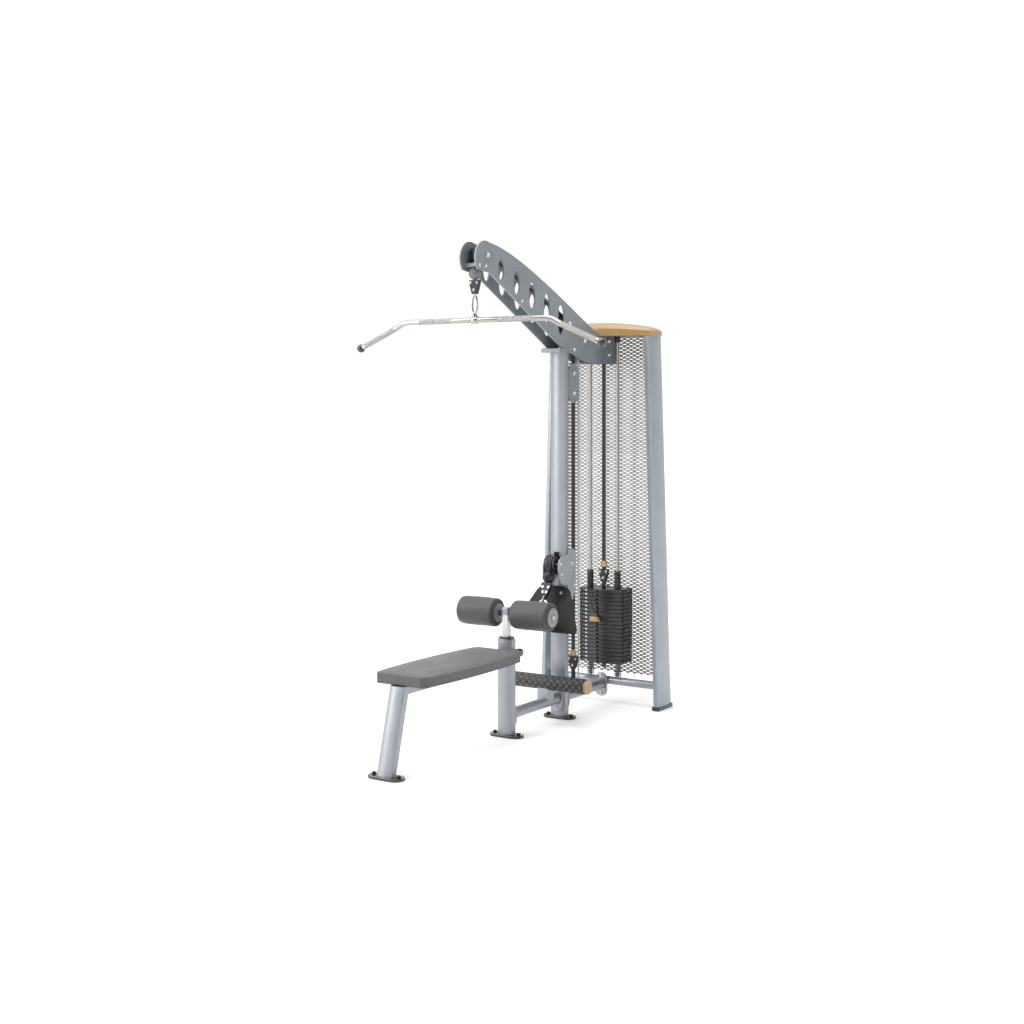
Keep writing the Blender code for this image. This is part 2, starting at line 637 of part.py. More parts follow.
def side_column(x, y, wall):
    """Tower column section: long along the machine, crowned on its inner and outer faces."""
    flat = oval_tube(COLUMN_DEPTH - 2 * wall, COLUMN_THICKNESS - 2 * wall, COLUMN_CROWN,
                     (0.0, 0.0))
    return [(x - v, y + u) for u, v in flat]


def lid_outline(inset):
    """The lid from above: crowned front, straight back, rounded ends."""
    half = TOP_HALF_SPAN + LID_OVERHANG - inset
    front = STACK_Y - LID_FRONT + inset
    back = REAR_Y - TOWER_FOOT_MARGIN - inset
    corner = LID_CORNER
    points = []
    for i in range(17):
        u = half * (1 - i / 8)
        points.append((u, front + LID_CROWN * (u / half) ** 2))
    points += [(-half, back - corner), (-half + corner, back)]
    points += [(half - corner, back), (half, back - corner)]
    return points


def make_lid():
    """A hollow domed cover over the top of the tower, open underneath."""
    low = TOWER_HEIGHT + GAP
    top = low + LID_HEIGHT
    levels = [(LID_TOP_INSET, top - LID_WALL), (LID_WALL, top - LID_EAVE), (LID_WALL, low),
              (0.0, low), (0.0, top - LID_EAVE), (LID_SHOULDER[0], top - LID_SHOULDER[1]),
              (LID_TOP_INSET, top)]
    rings = [[(u, v, z) for u, v in lid_outline(inset)] for inset, z in levels]
    bm = bmesh.new()
    loft(bm, rings)
    finish("tower_lid", bm, GOLD)


def make_rails():
    """Round rails along the floor: bench post to column, and column to tower."""
    radius = RAIL_DIAMETER / 2
    centre = (0.0, RAIL_HEIGHT)
    half = TUBE_DEPTH / 2 + GAP
    runs = {"floor_rail": (POST_Y + half, COLUMN_Y - half, SILVER),
            "base_rail": (COLUMN_Y + half, STACK_Y - CROSS_RAIL_DIAMETER / 2 - RUN, BLUE_GREY)}
    for name, (start, end, colour) in runs.items():
        bm = bmesh.new()
        tube(bm, circle(radius, 24, centre), circle(radius - RAIL_WALL, 24, centre), "Y",
             start, end)
        finish(name, bm, colour)


# ---------------------------------------------------------------- bench

def make_bench():
    """Leaning front leg, post, seat rail and seat pad."""
    section = (TUBE_WIDTH, TUBE_DEPTH, TUBE_BULGE)
    bore = (TUBE_WIDTH - 2 * TUBE_WALL, TUBE_DEPTH - 2 * TUBE_WALL, TUBE_BULGE)
    low = FOOT_THICKNESS + GAP
    high = RAIL_TOP
    bm = bmesh.new()
    tube(bm, oval_tube(*section, (0.0, LEG_FOOT_Y)), oval_tube(*bore, (0.0, LEG_FOOT_Y)), "Z",
         low, high, (0.0, LEG_LEAN))
    finish("bench_leg", bm, SILVER)

    bm = bmesh.new()
    tube(bm, oval_tube(*section, (0.0, POST_Y)), oval_tube(*bore, (0.0, POST_Y)), "Z",
         low, POST_HEIGHT)
    post = finish("bench_post", bm, SILVER)
    inner = THIGH_BAR / 2 + RUN
    collar = bmesh.new()
    prism(collar, oval_tube(TUBE_WIDTH - TUBE_WALL, TUBE_DEPTH - TUBE_WALL, TUBE_BULGE,
                            (0.0, POST_Y)), "Z", POST_HEIGHT - 0.040, POST_HEIGHT + COLLAR_HEIGHT)
    combine(post, collar, "UNION", "collar")
    socket = bmesh.new()
    prism(socket, rectangle(-inner, inner, POST_Y - inner, POST_Y + inner), "Z",
          POST_HEIGHT - 0.060, POST_HEIGHT + 2 * COLLAR_HEIGHT)
    combine(post, socket, "DIFFERENCE", "bar_socket")
    hole = bmesh.new()
    rod(hole, "X", (POST_Y, KNOB_HEIGHT), AXLE_RADIUS + RUN, THIGH_BAR / 2, TUBE_WIDTH)
    combine(post, hole, "DIFFERENCE", "pin_hole")

    leg_back = LEG_TOP_Y + TUBE_DEPTH / 2
    bm = bmesh.new()
    half = SEAT_RAIL_WIDTH / 2
    outer = rectangle(-half, half, RAIL_BOTTOM, RAIL_TOP)
    inner = rectangle(-half + RAIL_WALL, half - RAIL_WALL, RAIL_BOTTOM + RAIL_WALL,
                      RAIL_TOP - RAIL_WALL)
    tube(bm, outer, inner, "Y", leg_back + RUN, POST_Y - TUBE_DEPTH / 2 - GAP)
    finish("seat_rail", bm, SILVER)

    bm = bmesh.new()
    bulge = (SEAT_WIDTH - SEAT_END_WIDTH) / 2
    middle = (SEAT_FRONT_Y + SEAT_BACK_Y) / 2
    side = oval_tube(SEAT_LENGTH, SEAT_WIDTH, bulge, (middle, 0.0), 10)
    rings = []
    for inset, z in ((SEAT_EDGE / 2, SEAT_BASE), (0.0, SEAT_BASE + SEAT_EDGE),
                     (0.0, SEAT_HEIGHT - SEAT_EDGE), (SEAT_EDGE, SEAT_HEIGHT)):
        shrink = (SEAT_LENGTH - 2 * inset) / SEAT_LENGTH, (SEAT_WIDTH - 2 * inset) / SEAT_WIDTH
        rings.append([(v * shrink[1], middle + (u - middle) * shrink[0], z) for u, v in side])
    loft(bm, rings)
    finish("seat_pad", bm, VINYL)


def make_thigh_pad():
    """Square bar with a cross axle and two foam rollers, and its pull pin."""
    anchor = (0.0, POST_Y, THIGH_AXLE_HEIGHT)
    carrier = empty("thigh_height", anchor)
    half = THIGH_BAR / 2
    bm = bmesh.new()
    bar = rectangle(-half, half, POST_Y - half, POST_Y + half)
    prism(bm, bar, "Z", POST_HEIGHT - THIGH_BAR_HIDDEN, THIGH_AXLE_HEIGHT + THIGH_BAR_TOP)
    thigh_bar = finish("thigh_bar", bm, CHROME, anchor, carrier)
    hole = bmesh.new()
    rod(hole, "X", (0.0, 0.0), ROLLER_AXLE_RADIUS + GAP, -THIGH_BAR, THIGH_BAR, 24)
    combine(thigh_bar, hole, "DIFFERENCE", "axle_hole")
    bpy.data.objects["axle_hole"].parent = carrier
    bm = bmesh.new()
    end = ROLLER_INNER + ROLLER_LENGTH
    rod(bm, "X", (POST_Y, THIGH_AXLE_HEIGHT), ROLLER_AXLE_RADIUS, -end, end, 24)
    finish("roller_axle", bm, CHROME, anchor, carrier)
    for side, sign in SIDES.items():
        bore = ROLLER_AXLE_RADIUS + GAP
        inner = sign * ROLLER_INNER
        outer = sign * end
        edge = sign * ROLLER_EDGE
        profile = [(bore, inner), (ROLLER_RADIUS - ROLLER_EDGE, inner),
                   (ROLLER_RADIUS, inner + edge), (ROLLER_RADIUS, outer - edge),
                   (ROLLER_RADIUS - ROLLER_EDGE, outer), (bore, outer)]
        bm = bmesh.new()
        turned(bm, profile, "X", anchor)
        finish(f"thigh_roller_{side}", bm, VINYL, anchor, carrier)

    bm = bmesh.new()
    start = THIGH_BAR / 2 + RUN
    face = TUBE_WIDTH / 2
    stem, neck, swell, rim, tip = (face + step for step in KNOB_STEPS)
    profile = [(0.0, start), (AXLE_RADIUS, start), (AXLE_RADIUS, stem),
               (KNOB_RADIUS * 0.7, neck), (KNOB_RADIUS, swell), (KNOB_RADIUS, rim),
               (KNOB_RADIUS * 0.8, tip), (0.0, tip)]
    pivot = (0.0, POST_Y, KNOB_HEIGHT)
    turned(bm, profile, "X", pivot, 20)
    finish("height_pin", bm, BLACK, pivot)


# ---------------------------------------------------------------- weights

def plate_outline(inset):
    """A weight plate from above: crowned front, square back."""
    half = STACK_HALF_WIDTH - inset
    front = STACK_Y - STACK_FRONT + inset
    points = []
    for i in range(9):
        u = half * (1 - i / 4)
        points.append((u, front - STACK_CROWN * (1 - (u / half) ** 2)))
    points += [(-half, STACK_Y + STACK_BACK - inset), (half, STACK_Y + STACK_BACK - inset)]
    return points


def plate_pile(bm, low, count):
    """Stacked plates as one body with a shallow groove at each seam."""
    rings = []
    for i in range(count):
        bottom = low + i * PLATE_PITCH
        top = bottom + PLATE_PITCH
        levels = [(PLATE_GROOVE, bottom), (0.0, bottom + PLATE_GROOVE),
                  (0.0, top - PLATE_GROOVE)]
        if i == count - 1:
            levels.append((PLATE_GROOVE, top))
        rings += [[(u, v, z) for u, v in plate_outline(inset)] for inset, z in levels]
    loft(bm, rings)


def rod_holes(low, high):
    """Clearance holes for the guide rods and the stem."""
    bm = bmesh.new()
    for sign in SIDES.values():
        rod(bm, "Z", (sign * ROD_SPACING / 2, STACK_Y), ROD_RADIUS + RUN, low, high)
    rod(bm, "Z", (0.0, STACK_Y), STEM_RADIUS + RUN, low, high)
    return bm


def pin_hole():
    """Clearance hole for the selector pin, from the stack's front into the stem."""
    bm = bmesh.new()
    rod(bm, "Y", (0.0, PIN_HEIGHT), PIN_RADIUS + RUN, STACK_Y - STACK_FRONT - STACK_CROWN - 0.02,
        STACK_Y + STEM_RADIUS + 3 * RUN, 12)
    return bm


def make_stack():
    """Top plate with its sleeves and stem, lifted plates, resting plates, pin and bumpers."""
    carrier = empty("stack_lift", (0.0, STACK_Y, STACK_TOP))
    pivot = tuple(carrier.location)
    bm = bmesh.new()
    plate_pile(bm, STACK_TOP - PLATE_PITCH + GAP, 1)
    top = finish("top_plate", bm, STEEL)
    extra = bmesh.new()
    for sign in SIDES.values():
        rod(extra, "Z", (sign * ROD_SPACING / 2, STACK_Y), SLEEVE_RADIUS,
            STACK_TOP - PLATE_PITCH / 2, STACK_TOP + SLEEVE_LENGTH)
    rod(extra, "Z", (0.0, STACK_Y), STEM_RADIUS, STACK_BOTTOM + PLATE_PITCH,
        STACK_TOP - PLATE_PITCH / 2)
    combine(top, extra, "UNION", "sleeves_and_stem")
    holes = bmesh.new()
    for sign in SIDES.values():
        rod(holes, "Z", (sign * ROD_SPACING / 2, STACK_Y), ROD_RADIUS + RUN,
            STACK_BOTTOM, STACK_TOP + 2 * SLEEVE_LENGTH)
    combine(top, holes, "DIFFERENCE", "top_plate_holes")
    combine(top, pin_hole(), "DIFFERENCE", "stem_pin_hole")
    top.parent = carrier
    top.location = -carrier.location

    bm = bmesh.new()
    plate_pile(bm, SPLIT_HEIGHT + GAP, LIFTED_COUNT)
    lifted = finish("lifted_plates", bm, STEEL)
    combine(lifted, rod_holes(SPLIT_HEIGHT - 0.01, STACK_TOP + 0.01), "DIFFERENCE",
            "lifted_holes")
    combine(lifted, pin_hole(), "DIFFERENCE", "lifted_pin_hole")
    lifted.parent = carrier
    lifted.location = -carrier.location

    bm = bmesh.new()
    plate_pile(bm, STACK_BOTTOM, PLATE_COUNT - LIFTED_COUNT - 1)
    resting = finish("resting_plates", bm, STEEL)
    combine(resting, rod_holes(STACK_BOTTOM - 0.01, SPLIT_HEIGHT + 0.01), "DIFFERENCE",
            "resting_holes")

    front = STACK_Y - STACK_FRONT - STACK_CROWN
    bm = bmesh.new()
    centre = (0.0, 0.0, PIN_HEIGHT)
    shoulder = front - PIN_HANDLE_GAP
    knob = shoulder - PIN_HANDLE_LENGTH
    profile = [(0.0, STACK_Y - RUN), (PIN_RADIUS, STACK_Y - 3 * RUN),
               (PIN_RADIUS, shoulder + 2 * RUN), (PIN_HANDLE / 2, shoulder),
               (PIN_HANDLE / 2, knob), (0.0, knob - 2 * RUN)]
    turned(bm, profile, "Y", centre, 16)
    finish("selector_pin", bm, GOLD, (0.0, front, PIN_HEIGHT), carrier)

    bm = bmesh.new()
    clevis(bm, (0.0, STACK_Y), STACK_TOP + CLAMP_HEIGHT, STACK_TOP + GAP)
    finish("stack_clevis", bm, BLACK, pivot, carrier)

    rail_top = CROSS_RAIL_HEIGHT + CROSS_RAIL_DIAMETER / 2
    for side, sign in SIDES.items():
        bm = bmesh.new()
        profile = [(ROD_RADIUS + GAP, rail_top + GAP), (BUMPER_RADIUS, rail_top + GAP),
                   (BUMPER_RADIUS, STACK_BOTTOM - GAP), (ROD_RADIUS + GAP, STACK_BOTTOM - GAP)]
        turned(bm, profile, "Z", (sign * ROD_SPACING / 2, STACK_Y, 0.0), 24)
        finish(f"stack_bumper_{side}", bm, RUBBER)


def clevis(bm, centre, top, foot):
    """Belt clamp seen from the front: wide shoulders, tapered jaws and a stud down to foot."""
    x, y = centre
    jaw = top - CLEVIS_LENGTH
    half = [(CLEVIS_FOOT_HALF * 0.6, foot), (CLEVIS_FOOT_HALF * 0.6, jaw),
            (CLEVIS_FOOT_HALF, jaw), (CLEVIS_TOP_HALF, top - 0.014), (CLEVIS_TOP_HALF, top)]
    outline = half + [(-u, z) for u, z in reversed(half)]
    outline = [(x + u, z) for u, z in outline]
    prism(bm, outline, "Y", y - CLEVIS_DEPTH / 2, y + CLEVIS_DEPTH / 2)


# ---------------------------------------------------------------- pulleys and belts

def pulley(name, centre, flange, seat, carrier=None):
    """A flanged belt pulley on an axle along X."""
    half = PULLEY_WIDTH / 2
    lip = 0.0028
    bore = AXLE_RADIUS + GAP
    profile = [(bore, -half), (flange, -half), (flange, -half + lip), (seat, -half + lip + 0.001),
               (seat, half - lip - 0.001), (flange, half - lip), (flange, half), (bore, half)]
    bm = bmesh.new()
    turned(bm, profile, "X", centre)
    finish(name, bm, BLACK, centre, carrier)


def belt(name, y, low, high, pivot=None, carrier=None):
    """A vertical run of flat belt."""
    bm = bmesh.new()
    half = BELT_WIDTH / 2
    prism(bm, rectangle(-half, half, y - BELT_THICKNESS / 2, y + BELT_THICKNESS / 2), "Z",
          low, high)
    finish(name, bm, RUBBER, pivot or (0.0, y, low), carrier)


def make_fixed_pulleys():
    """Pulleys that turn on the frame, and the bracket of the low pulley."""
    pulley("head_pulley", (0.0, HEAD_Y, HEAD_HEIGHT), PULLEY_RADIUS, SEAT_RADIUS)
    pulley("boom_pulley", (0.0, BOOM_PULLEY_Y, BOOM_PULLEY_HEIGHT), PULLEY_RADIUS, SEAT_RADIUS)
    pulley("rear_pulley", (0.0, REAR_PULLEY_Y, REAR_PULLEY_HEIGHT), PULLEY_RADIUS, SEAT_RADIUS)
    pulley("tower_pulley", (0.0, TOWER_PULLEY_Y, TOWER_PULLEY_HEIGHT), PULLEY_RADIUS, SEAT_RADIUS)
    pulley("low_pulley", (0.0, LOW_PULLEY_Y, LOW_PULLEY_HEIGHT), PULLEY_RADIUS, SEAT_RADIUS)
    pulley("redirect_pulley", (0.0, REDIRECT_Y, LOW_PULLEY_HEIGHT), REDIRECT_FLANGE,
           REDIRECT_SEAT)

    front = COLUMN_Y - TUBE_DEPTH / 2
    back = COLUMN_Y + TUBE_DEPTH / 2
    middle = LOW_PULLEY_HEIGHT
    outline = [(front - 0.012, middle - 0.100), (front - 0.040, middle - 0.085),
               (front - 0.058, middle - 0.050), (front - 0.060, middle - 0.010),
               (front - 0.050, middle + 0.022), (front - 0.025, middle + 0.038),
               (COLUMN_Y - 0.004, middle + 0.040), (COLUMN_Y + 0.004, middle + 0.066),
               (back + 0.030, middle + 0.066), (back + 0.050, middle + 0.048),
               (back + 0.050, middle - 0.135), (back + 0.022, middle - 0.178),
               (COLUMN_Y + 0.010, middle - 0.178), (COLUMN_Y - 0.004, middle - 0.100)]
    inner = TUBE_WIDTH / 2 + GAP
    bm = bmesh.new()
    prism(bm, outline, "X", inner, inner + 0.005)
    bracket = finish("low_pulley_bracket", bm, SILVER)
    other = bmesh.new()
    prism(other, outline, "X", -inner - 0.005, -inner)
    combine(bracket, other, "UNION", "bracket_left_cheek")
    axles = bmesh.new()
    rod(axles, "X", (LOW_PULLEY_Y, middle), AXLE_RADIUS, -inner - 0.002, inner + 0.002)
    rod(axles, "X", (back + 0.036, middle - 0.110), AXLE_RADIUS, -inner - 0.002, inner + 0.002)
    combine(bracket, axles, "UNION", "bracket_axles")


def make_block():
    """Travelling block: two capsule cheeks on two axles, with a pulley on each."""
    centre = (0.0, BLOCK_Y, BLOCK_HEIGHT)
    carrier = empty("block_slide", centre)
    width = 2 * (PULLEY_RADIUS + BLOCK_MARGIN)
    inner = PULLEY_WIDTH / 2 + BLOCK_SIDE_CLEARANCE
    capsule = [(v, u) for u, v in stadium(BLOCK_PITCH + width, width, (0.0, 0.0))]
    bm = bmesh.new()
    prism(bm, capsule, "X", inner, inner + BLOCK_PLATE)
    bmesh.ops.translate(bm, verts=bm.verts, vec=centre)
    cheeks = finish("block_cheeks", bm, BLUE_GREY, centre, carrier)
    other = bmesh.new()
    prism(other, capsule, "X", -inner - BLOCK_PLATE, -inner)
    combine(cheeks, other, "UNION", "block_left_cheek")
    bpy.data.objects["block_left_cheek"].parent = carrier
    axles = bmesh.new()
    for sign in (-1, 1):
        rod(axles, "X", (0.0, sign * BLOCK_PITCH / 2), AXLE_RADIUS, -inner - 0.002, inner + 0.002)
    combine(cheeks, axles, "UNION", "block_axles")
    bpy.data.objects["block_axles"].parent = carrier
    for name, sign in (("block_pulley_upper", 1), ("block_pulley_lower", -1)):
        where = (0.0, BLOCK_Y, BLOCK_HEIGHT + sign * BLOCK_PITCH / 2)
        pulley(name, where, PULLEY_RADIUS, SEAT_RADIUS, carrier)


def make_belts():
    """Belt runs: over the boom, to the lat bar, to the stack, and from block to anchor."""
    head = Vector((HEAD_Y, HEAD_HEIGHT))
    boom = Vector((BOOM_PULLEY_Y, BOOM_PULLEY_HEIGHT))
    run = (boom - head).normalized()
    lift = Vector((-run.y, run.x)) * (BELT_RADIUS + 2 * GAP)
    half = Vector((-run.y, run.x)) * (BELT_THICKNESS / 2)
    corners = [head + lift - half, boom + lift - half, boom + lift + half, head + lift + half]
    bm = bmesh.new()
    prism(bm, [tuple(c) for c in corners], "X", -BELT_WIDTH / 2, BELT_WIDTH / 2)
    finish("boom_belt", bm, RUBBER)

    belt("lat_belt", LAT_Y - 2 * GAP, LAT_STOP_HEIGHT + STOP_RADIUS + GAP, HEAD_HEIGHT)
    belt("stack_belt", STACK_Y + 2 * GAP, STACK_TOP + CLAMP_HEIGHT + GAP, TOWER_PULLEY_HEIGHT)
    rear = BLOCK_Y + BELT_RADIUS + 2 * GAP
    anchor_top = RAIL_HEIGHT + RAIL_DIAMETER / 2 + ANCHOR_HEIGHT
    belt("anchor_belt", rear, anchor_top + GAP, BLOCK_HEIGHT - BLOCK_PITCH / 2)
    bm = bmesh.new()
    clevis(bm, (0.0, rear), anchor_top, RAIL_HEIGHT + RAIL_DIAMETER / 2 + GAP)
    finish("belt_anchor", bm, BLACK)


# ---------------------------------------------------------------- what the user holds

def make_lat_bar():
    """Stop ball, clevis, snap link and the long bent bar."""
    carrier = empty("bar_travel", (0.0, LAT_Y, LAT_STOP_HEIGHT))
    bm = bmesh.new()
    ball(bm, (0.0, LAT_Y, LAT_STOP_HEIGHT), STOP_RADIUS)
    finish("lat_stop_ball", bm, RUBBER, (0.0, LAT_Y, LAT_STOP_HEIGHT), carrier)
    bm = bmesh.new()
    clevis(bm, (0.0, LAT_Y), CLEVIS_TOP, CLEVIS_TOP - CLEVIS_LENGTH)
    finish("lat_clevis", bm, BLACK, (0.0, LAT_Y, CLEVIS_TOP), carrier)

    swing = (0.0, LAT_Y, LINK_TOP)
    hub_top = BAR_HEIGHT + BAR_RADIUS + HUB_HEIGHT
    middle = (LINK_TOP + hub_top + GAP) / 2
    outer = LINK_HALF_WIDTH + LINK_RADIUS
    inner = LINK_HALF_WIDTH - LINK_RADIUS
    height = LINK_TOP - hub_top - GAP
    rings = [[(v, u + middle) for u, v in stadium(height - 2 * step, 2 * side, (0.0, 0.0))]
             for side, step in ((outer, 0.0), (inner, 2 * LINK_RADIUS))]
    bm = bmesh.new()
    tube(bm, rings[0], rings[1], "Y", LAT_Y - LINK_RADIUS, LAT_Y + LINK_RADIUS)
    finish("snap_link", bm, CHROME, swing, carrier)

    end = BAR_SPAN / 2 - BALL_RADIUS
    points = [(0.0, BAR_HEIGHT), (BAR_STRAIGHT, BAR_HEIGHT - 0.002)]
    points += bezier((BAR_STRAIGHT + 0.010, BAR_HEIGHT - 0.003),
                     (BAR_STRAIGHT + 0.030, BAR_HEIGHT - 0.006),
                     (BAR_STRAIGHT + 0.045, BAR_HEIGHT - 0.012),
                     (BAR_STRAIGHT + 0.065, BAR_HEIGHT - 0.022), 4)
    points.append((end, BAR_HEIGHT - BAR_DROP))
    path = [(-x, LAT_Y, z) for x, z in reversed(points[1:])]
    path += [(x, LAT_Y, z) for x, z in points]
    bm = bmesh.new()
    bent_rod(bm, path, BAR_RADIUS)
    pivot = (0.0, LAT_Y, BAR_HEIGHT)
    bar = finish("lat_bar", bm, CHROME, pivot, carrier)
    extra = bmesh.new()
    ball(extra, (end, 0.0, -BAR_DROP), BALL_RADIUS, 10, 20)
    ball(extra, (-end, 0.0, -BAR_DROP), BALL_RADIUS, 10, 20)
    rod(extra, "Z", (0.0, 0.0), HUB_RADIUS, 0.0, BAR_RADIUS + HUB_HEIGHT)
    combine(bar, extra, "UNION", "bar_ends_and_hub")
    helper = bpy.data.objects["bar_ends_and_hub"]
    helper.parent = carrier
    helper.location = Vector(pivot) - carrier.location


def make_row_handle():
    """Stop ball and clamp of the low belt, and the stirrup handle that hangs before the guard."""
    pivot = (0.0, ROW_Y, ROW_STOP_HEIGHT)
    carrier = empty("row_travel", pivot)
    lean = Matrix.Translation(pivot) @ Matrix.Rotation(-ROW_LEAN, 4, "X")
    bm = bmesh.new()
    top = -STOP_RADIUS - GAP
    clevis(bm, (0.0, 0.0), top, top - CLEVIS_LENGTH - ROW_STUD)
    bmesh.ops.transform(bm, matrix=lean, verts=bm.verts)
    row_clevis = finish("row_clevis", bm, BLACK, pivot, carrier)
    stop = bmesh.new()
    ball(stop, (0.0, 0.0, 0.0), STOP_RADIUS + 2 * GAP)
    combine(row_clevis, stop, "UNION", "row_stop_ball")
    bpy.data.objects["row_stop_ball"].parent = carrier

    apex = -ROW_LINK
    side = bezier((0.0, apex), (HANDLE_HALF * 0.6, apex), (HANDLE_HALF, apex - HANDLE_DROP * 0.3),
                  (HANDLE_HALF, apex - HANDLE_DROP), 7)
    path = [(-x, 0.0, z) for x, z in reversed(side[1:])] + [(x, 0.0, z) for x, z in side]
    bm = bmesh.new()
    bent_rod(bm, path, HANDLE_RADIUS, 12)
    handle = finish("row_handle", bm, CHROME)
    extra = bmesh.new()
    end = HANDLE_HALF + GRIP_END
    rod(extra, "X", (0.0, apex - HANDLE_DROP), GRIP_RADIUS, -end, end)
    combine(handle, extra, "UNION", "grip")
    for obj in (handle, bpy.data.objects["grip"]):
        obj.data.transform(lean)
        obj.data.transform(Matrix.Translation(-Vector(pivot)))
        obj.parent = carrier
        obj.location = (0.0, 0.0, 0.0)


def make_foot_parts():
    """Footrest bar on its bracket, and the sloping shin guard."""
    y = COLUMN_Y - FOOTREST_REACH
    bm = bmesh.new()
    rod(bm, "X", (y, FOOTREST_HEIGHT), FOOTREST_RADIUS, -FOOTREST_LENGTH / 2,
        FOOTREST_LENGTH / 2, 28)
    finish("footrest_bar", bm, RUBBER)
    bm = bmesh.new()
    block = rectangle(-BRACKET_WIDTH / 2, BRACKET_WIDTH / 2, y - BRACKET_DEPTH / 2,
                      y + BRACKET_DEPTH / 2)
    prism(bm, block, "Z", RAIL_HEIGHT + RAIL_DIAMETER / 4, FOOTREST_HEIGHT)
    bracket = finish("footrest_bracket", bm, SILVER)
    seats = bmesh.new()
    rod(seats, "X", (y, FOOTREST_HEIGHT), FOOTREST_RADIUS + GAP, -BRACKET_WIDTH, BRACKET_WIDTH, 28)
    rod(seats, "Y", (0.0, RAIL_HEIGHT), RAIL_DIAMETER / 2 + GAP, y - BRACKET_DEPTH,
        y + BRACKET_DEPTH, 24)
    combine(bracket, seats, "DIFFERENCE", "bracket_seats")

    bm = bmesh.new()
    face = COLUMN_Y - TUBE_DEPTH / 2 - GAP
    back = GUARD_THICKNESS
    top = [(GUARD_TOP_HALF, COLUMN_Y - GUARD_TOP_REACH, GUARD_TOP),
           (-GUARD_TOP_HALF, COLUMN_Y - GUARD_TOP_REACH, GUARD_TOP)]
    bottom = [(-GUARD_BOTTOM_HALF, COLUMN_Y - GUARD_BOTTOM_REACH, GUARD_BOTTOM),
              (GUARD_BOTTOM_HALF, COLUMN_Y - GUARD_BOTTOM_REACH, GUARD_BOTTOM)]
    sheet = top + bottom
    loft(bm, [sheet, [(x, y_ + back, z) for x, y_, z in sheet]])
    guard = finish("shin_guard", bm, RUBBER)
    tab = bmesh.new()
    height = GUARD_TOP - GUARD_TAB_HEIGHT
    top_edge = GUARD_TOP - GUARD_THICKNESS
    reach = COLUMN_Y - GUARD_TOP_REACH
    wedge = [(face, height), (face, top_edge), (reach + RUN, top_edge),
             (reach - GUARD_TAB_SINK, height)]
    prism(tab, wedge, "X", -GUARD_TAB_HALF, GUARD_TAB_HALF)
    combine(guard, tab, "UNION", "guard_tab")


make_feet()
make_column()
make_boom()
make_tower()
make_lid()
make_rails()
make_bench()
make_thigh_pad()
make_fixed_pulleys()
make_block()
make_stack()
make_belts()
make_lat_bar()
make_row_handle()
make_foot_parts()
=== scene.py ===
import json
import math

import bmesh
import bpy
from mathutils import Matrix, Vector

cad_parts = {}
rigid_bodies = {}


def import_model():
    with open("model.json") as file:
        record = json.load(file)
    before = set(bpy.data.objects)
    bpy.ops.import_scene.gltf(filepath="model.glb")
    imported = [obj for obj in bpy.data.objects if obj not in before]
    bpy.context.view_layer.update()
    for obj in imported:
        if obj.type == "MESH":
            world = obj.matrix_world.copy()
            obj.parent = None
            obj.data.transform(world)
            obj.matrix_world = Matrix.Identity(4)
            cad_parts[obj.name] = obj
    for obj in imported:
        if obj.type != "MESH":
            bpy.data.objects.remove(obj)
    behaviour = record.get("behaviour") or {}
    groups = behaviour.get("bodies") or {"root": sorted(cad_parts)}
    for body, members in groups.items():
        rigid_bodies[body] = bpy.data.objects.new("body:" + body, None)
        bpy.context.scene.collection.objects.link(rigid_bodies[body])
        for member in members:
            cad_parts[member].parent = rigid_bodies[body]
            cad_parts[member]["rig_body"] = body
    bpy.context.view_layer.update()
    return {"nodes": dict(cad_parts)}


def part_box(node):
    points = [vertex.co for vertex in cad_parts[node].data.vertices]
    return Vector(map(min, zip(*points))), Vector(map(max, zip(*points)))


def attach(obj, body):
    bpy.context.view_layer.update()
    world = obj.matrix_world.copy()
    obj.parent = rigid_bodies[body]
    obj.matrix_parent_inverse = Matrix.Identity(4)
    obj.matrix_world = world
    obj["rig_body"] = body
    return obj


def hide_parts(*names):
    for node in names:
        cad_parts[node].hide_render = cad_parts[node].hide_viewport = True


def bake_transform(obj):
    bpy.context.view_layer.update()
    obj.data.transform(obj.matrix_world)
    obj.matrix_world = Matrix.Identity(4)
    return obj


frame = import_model()
CAD = frame["nodes"]


def middle(node):
    low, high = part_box(node)
    return (low + high) / 2


COLUMN_Y = middle("front_column").y
STACK_Y = middle("guide_rod_right").y
BLOCK = middle("block_cheeks")
HEAD = middle("head_pulley")
BOOM_PULLEY = middle("boom_pulley")
REAR_PULLEY = middle("rear_pulley")
TOWER_PULLEY = middle("tower_pulley")
LOW_PULLEY = middle("low_pulley")
REDIRECT = middle("redirect_pulley")
LAT_STOP = middle("lat_stop_ball")
BOOM_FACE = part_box("boom_plate_right")[1].x
STACK_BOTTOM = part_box("resting_plates")[0].z
PLATE_PITCH = (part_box("resting_plates")[1].z - STACK_BOTTOM) / 11
BELT_RADIUS = 0.0365
BELT_WIDTH = 0.020
BELT_THICKNESS = 0.003
BLOCK_PULLEY_RISE = 0.0485
BAR_LEVEL = 1.870
BAR_HALF = 0.637
BAR_DROP = 0.112
BEND_START, BEND_END, BEND_DROP = 0.36, 0.425, 0.022
BAR_SLOPE = math.atan2(BAR_DROP - BEND_DROP, BAR_HALF - BEND_END)
CROWN = 0.038
PLATE_HALF = 0.125
PLATE_FRONT = 0.030
# Radius of the black ring painted round each roller disc as the shade of its recess.
RECESS_SHADE_RADIUS = 0.0475


# ------------------------------------------------------------------ finishes

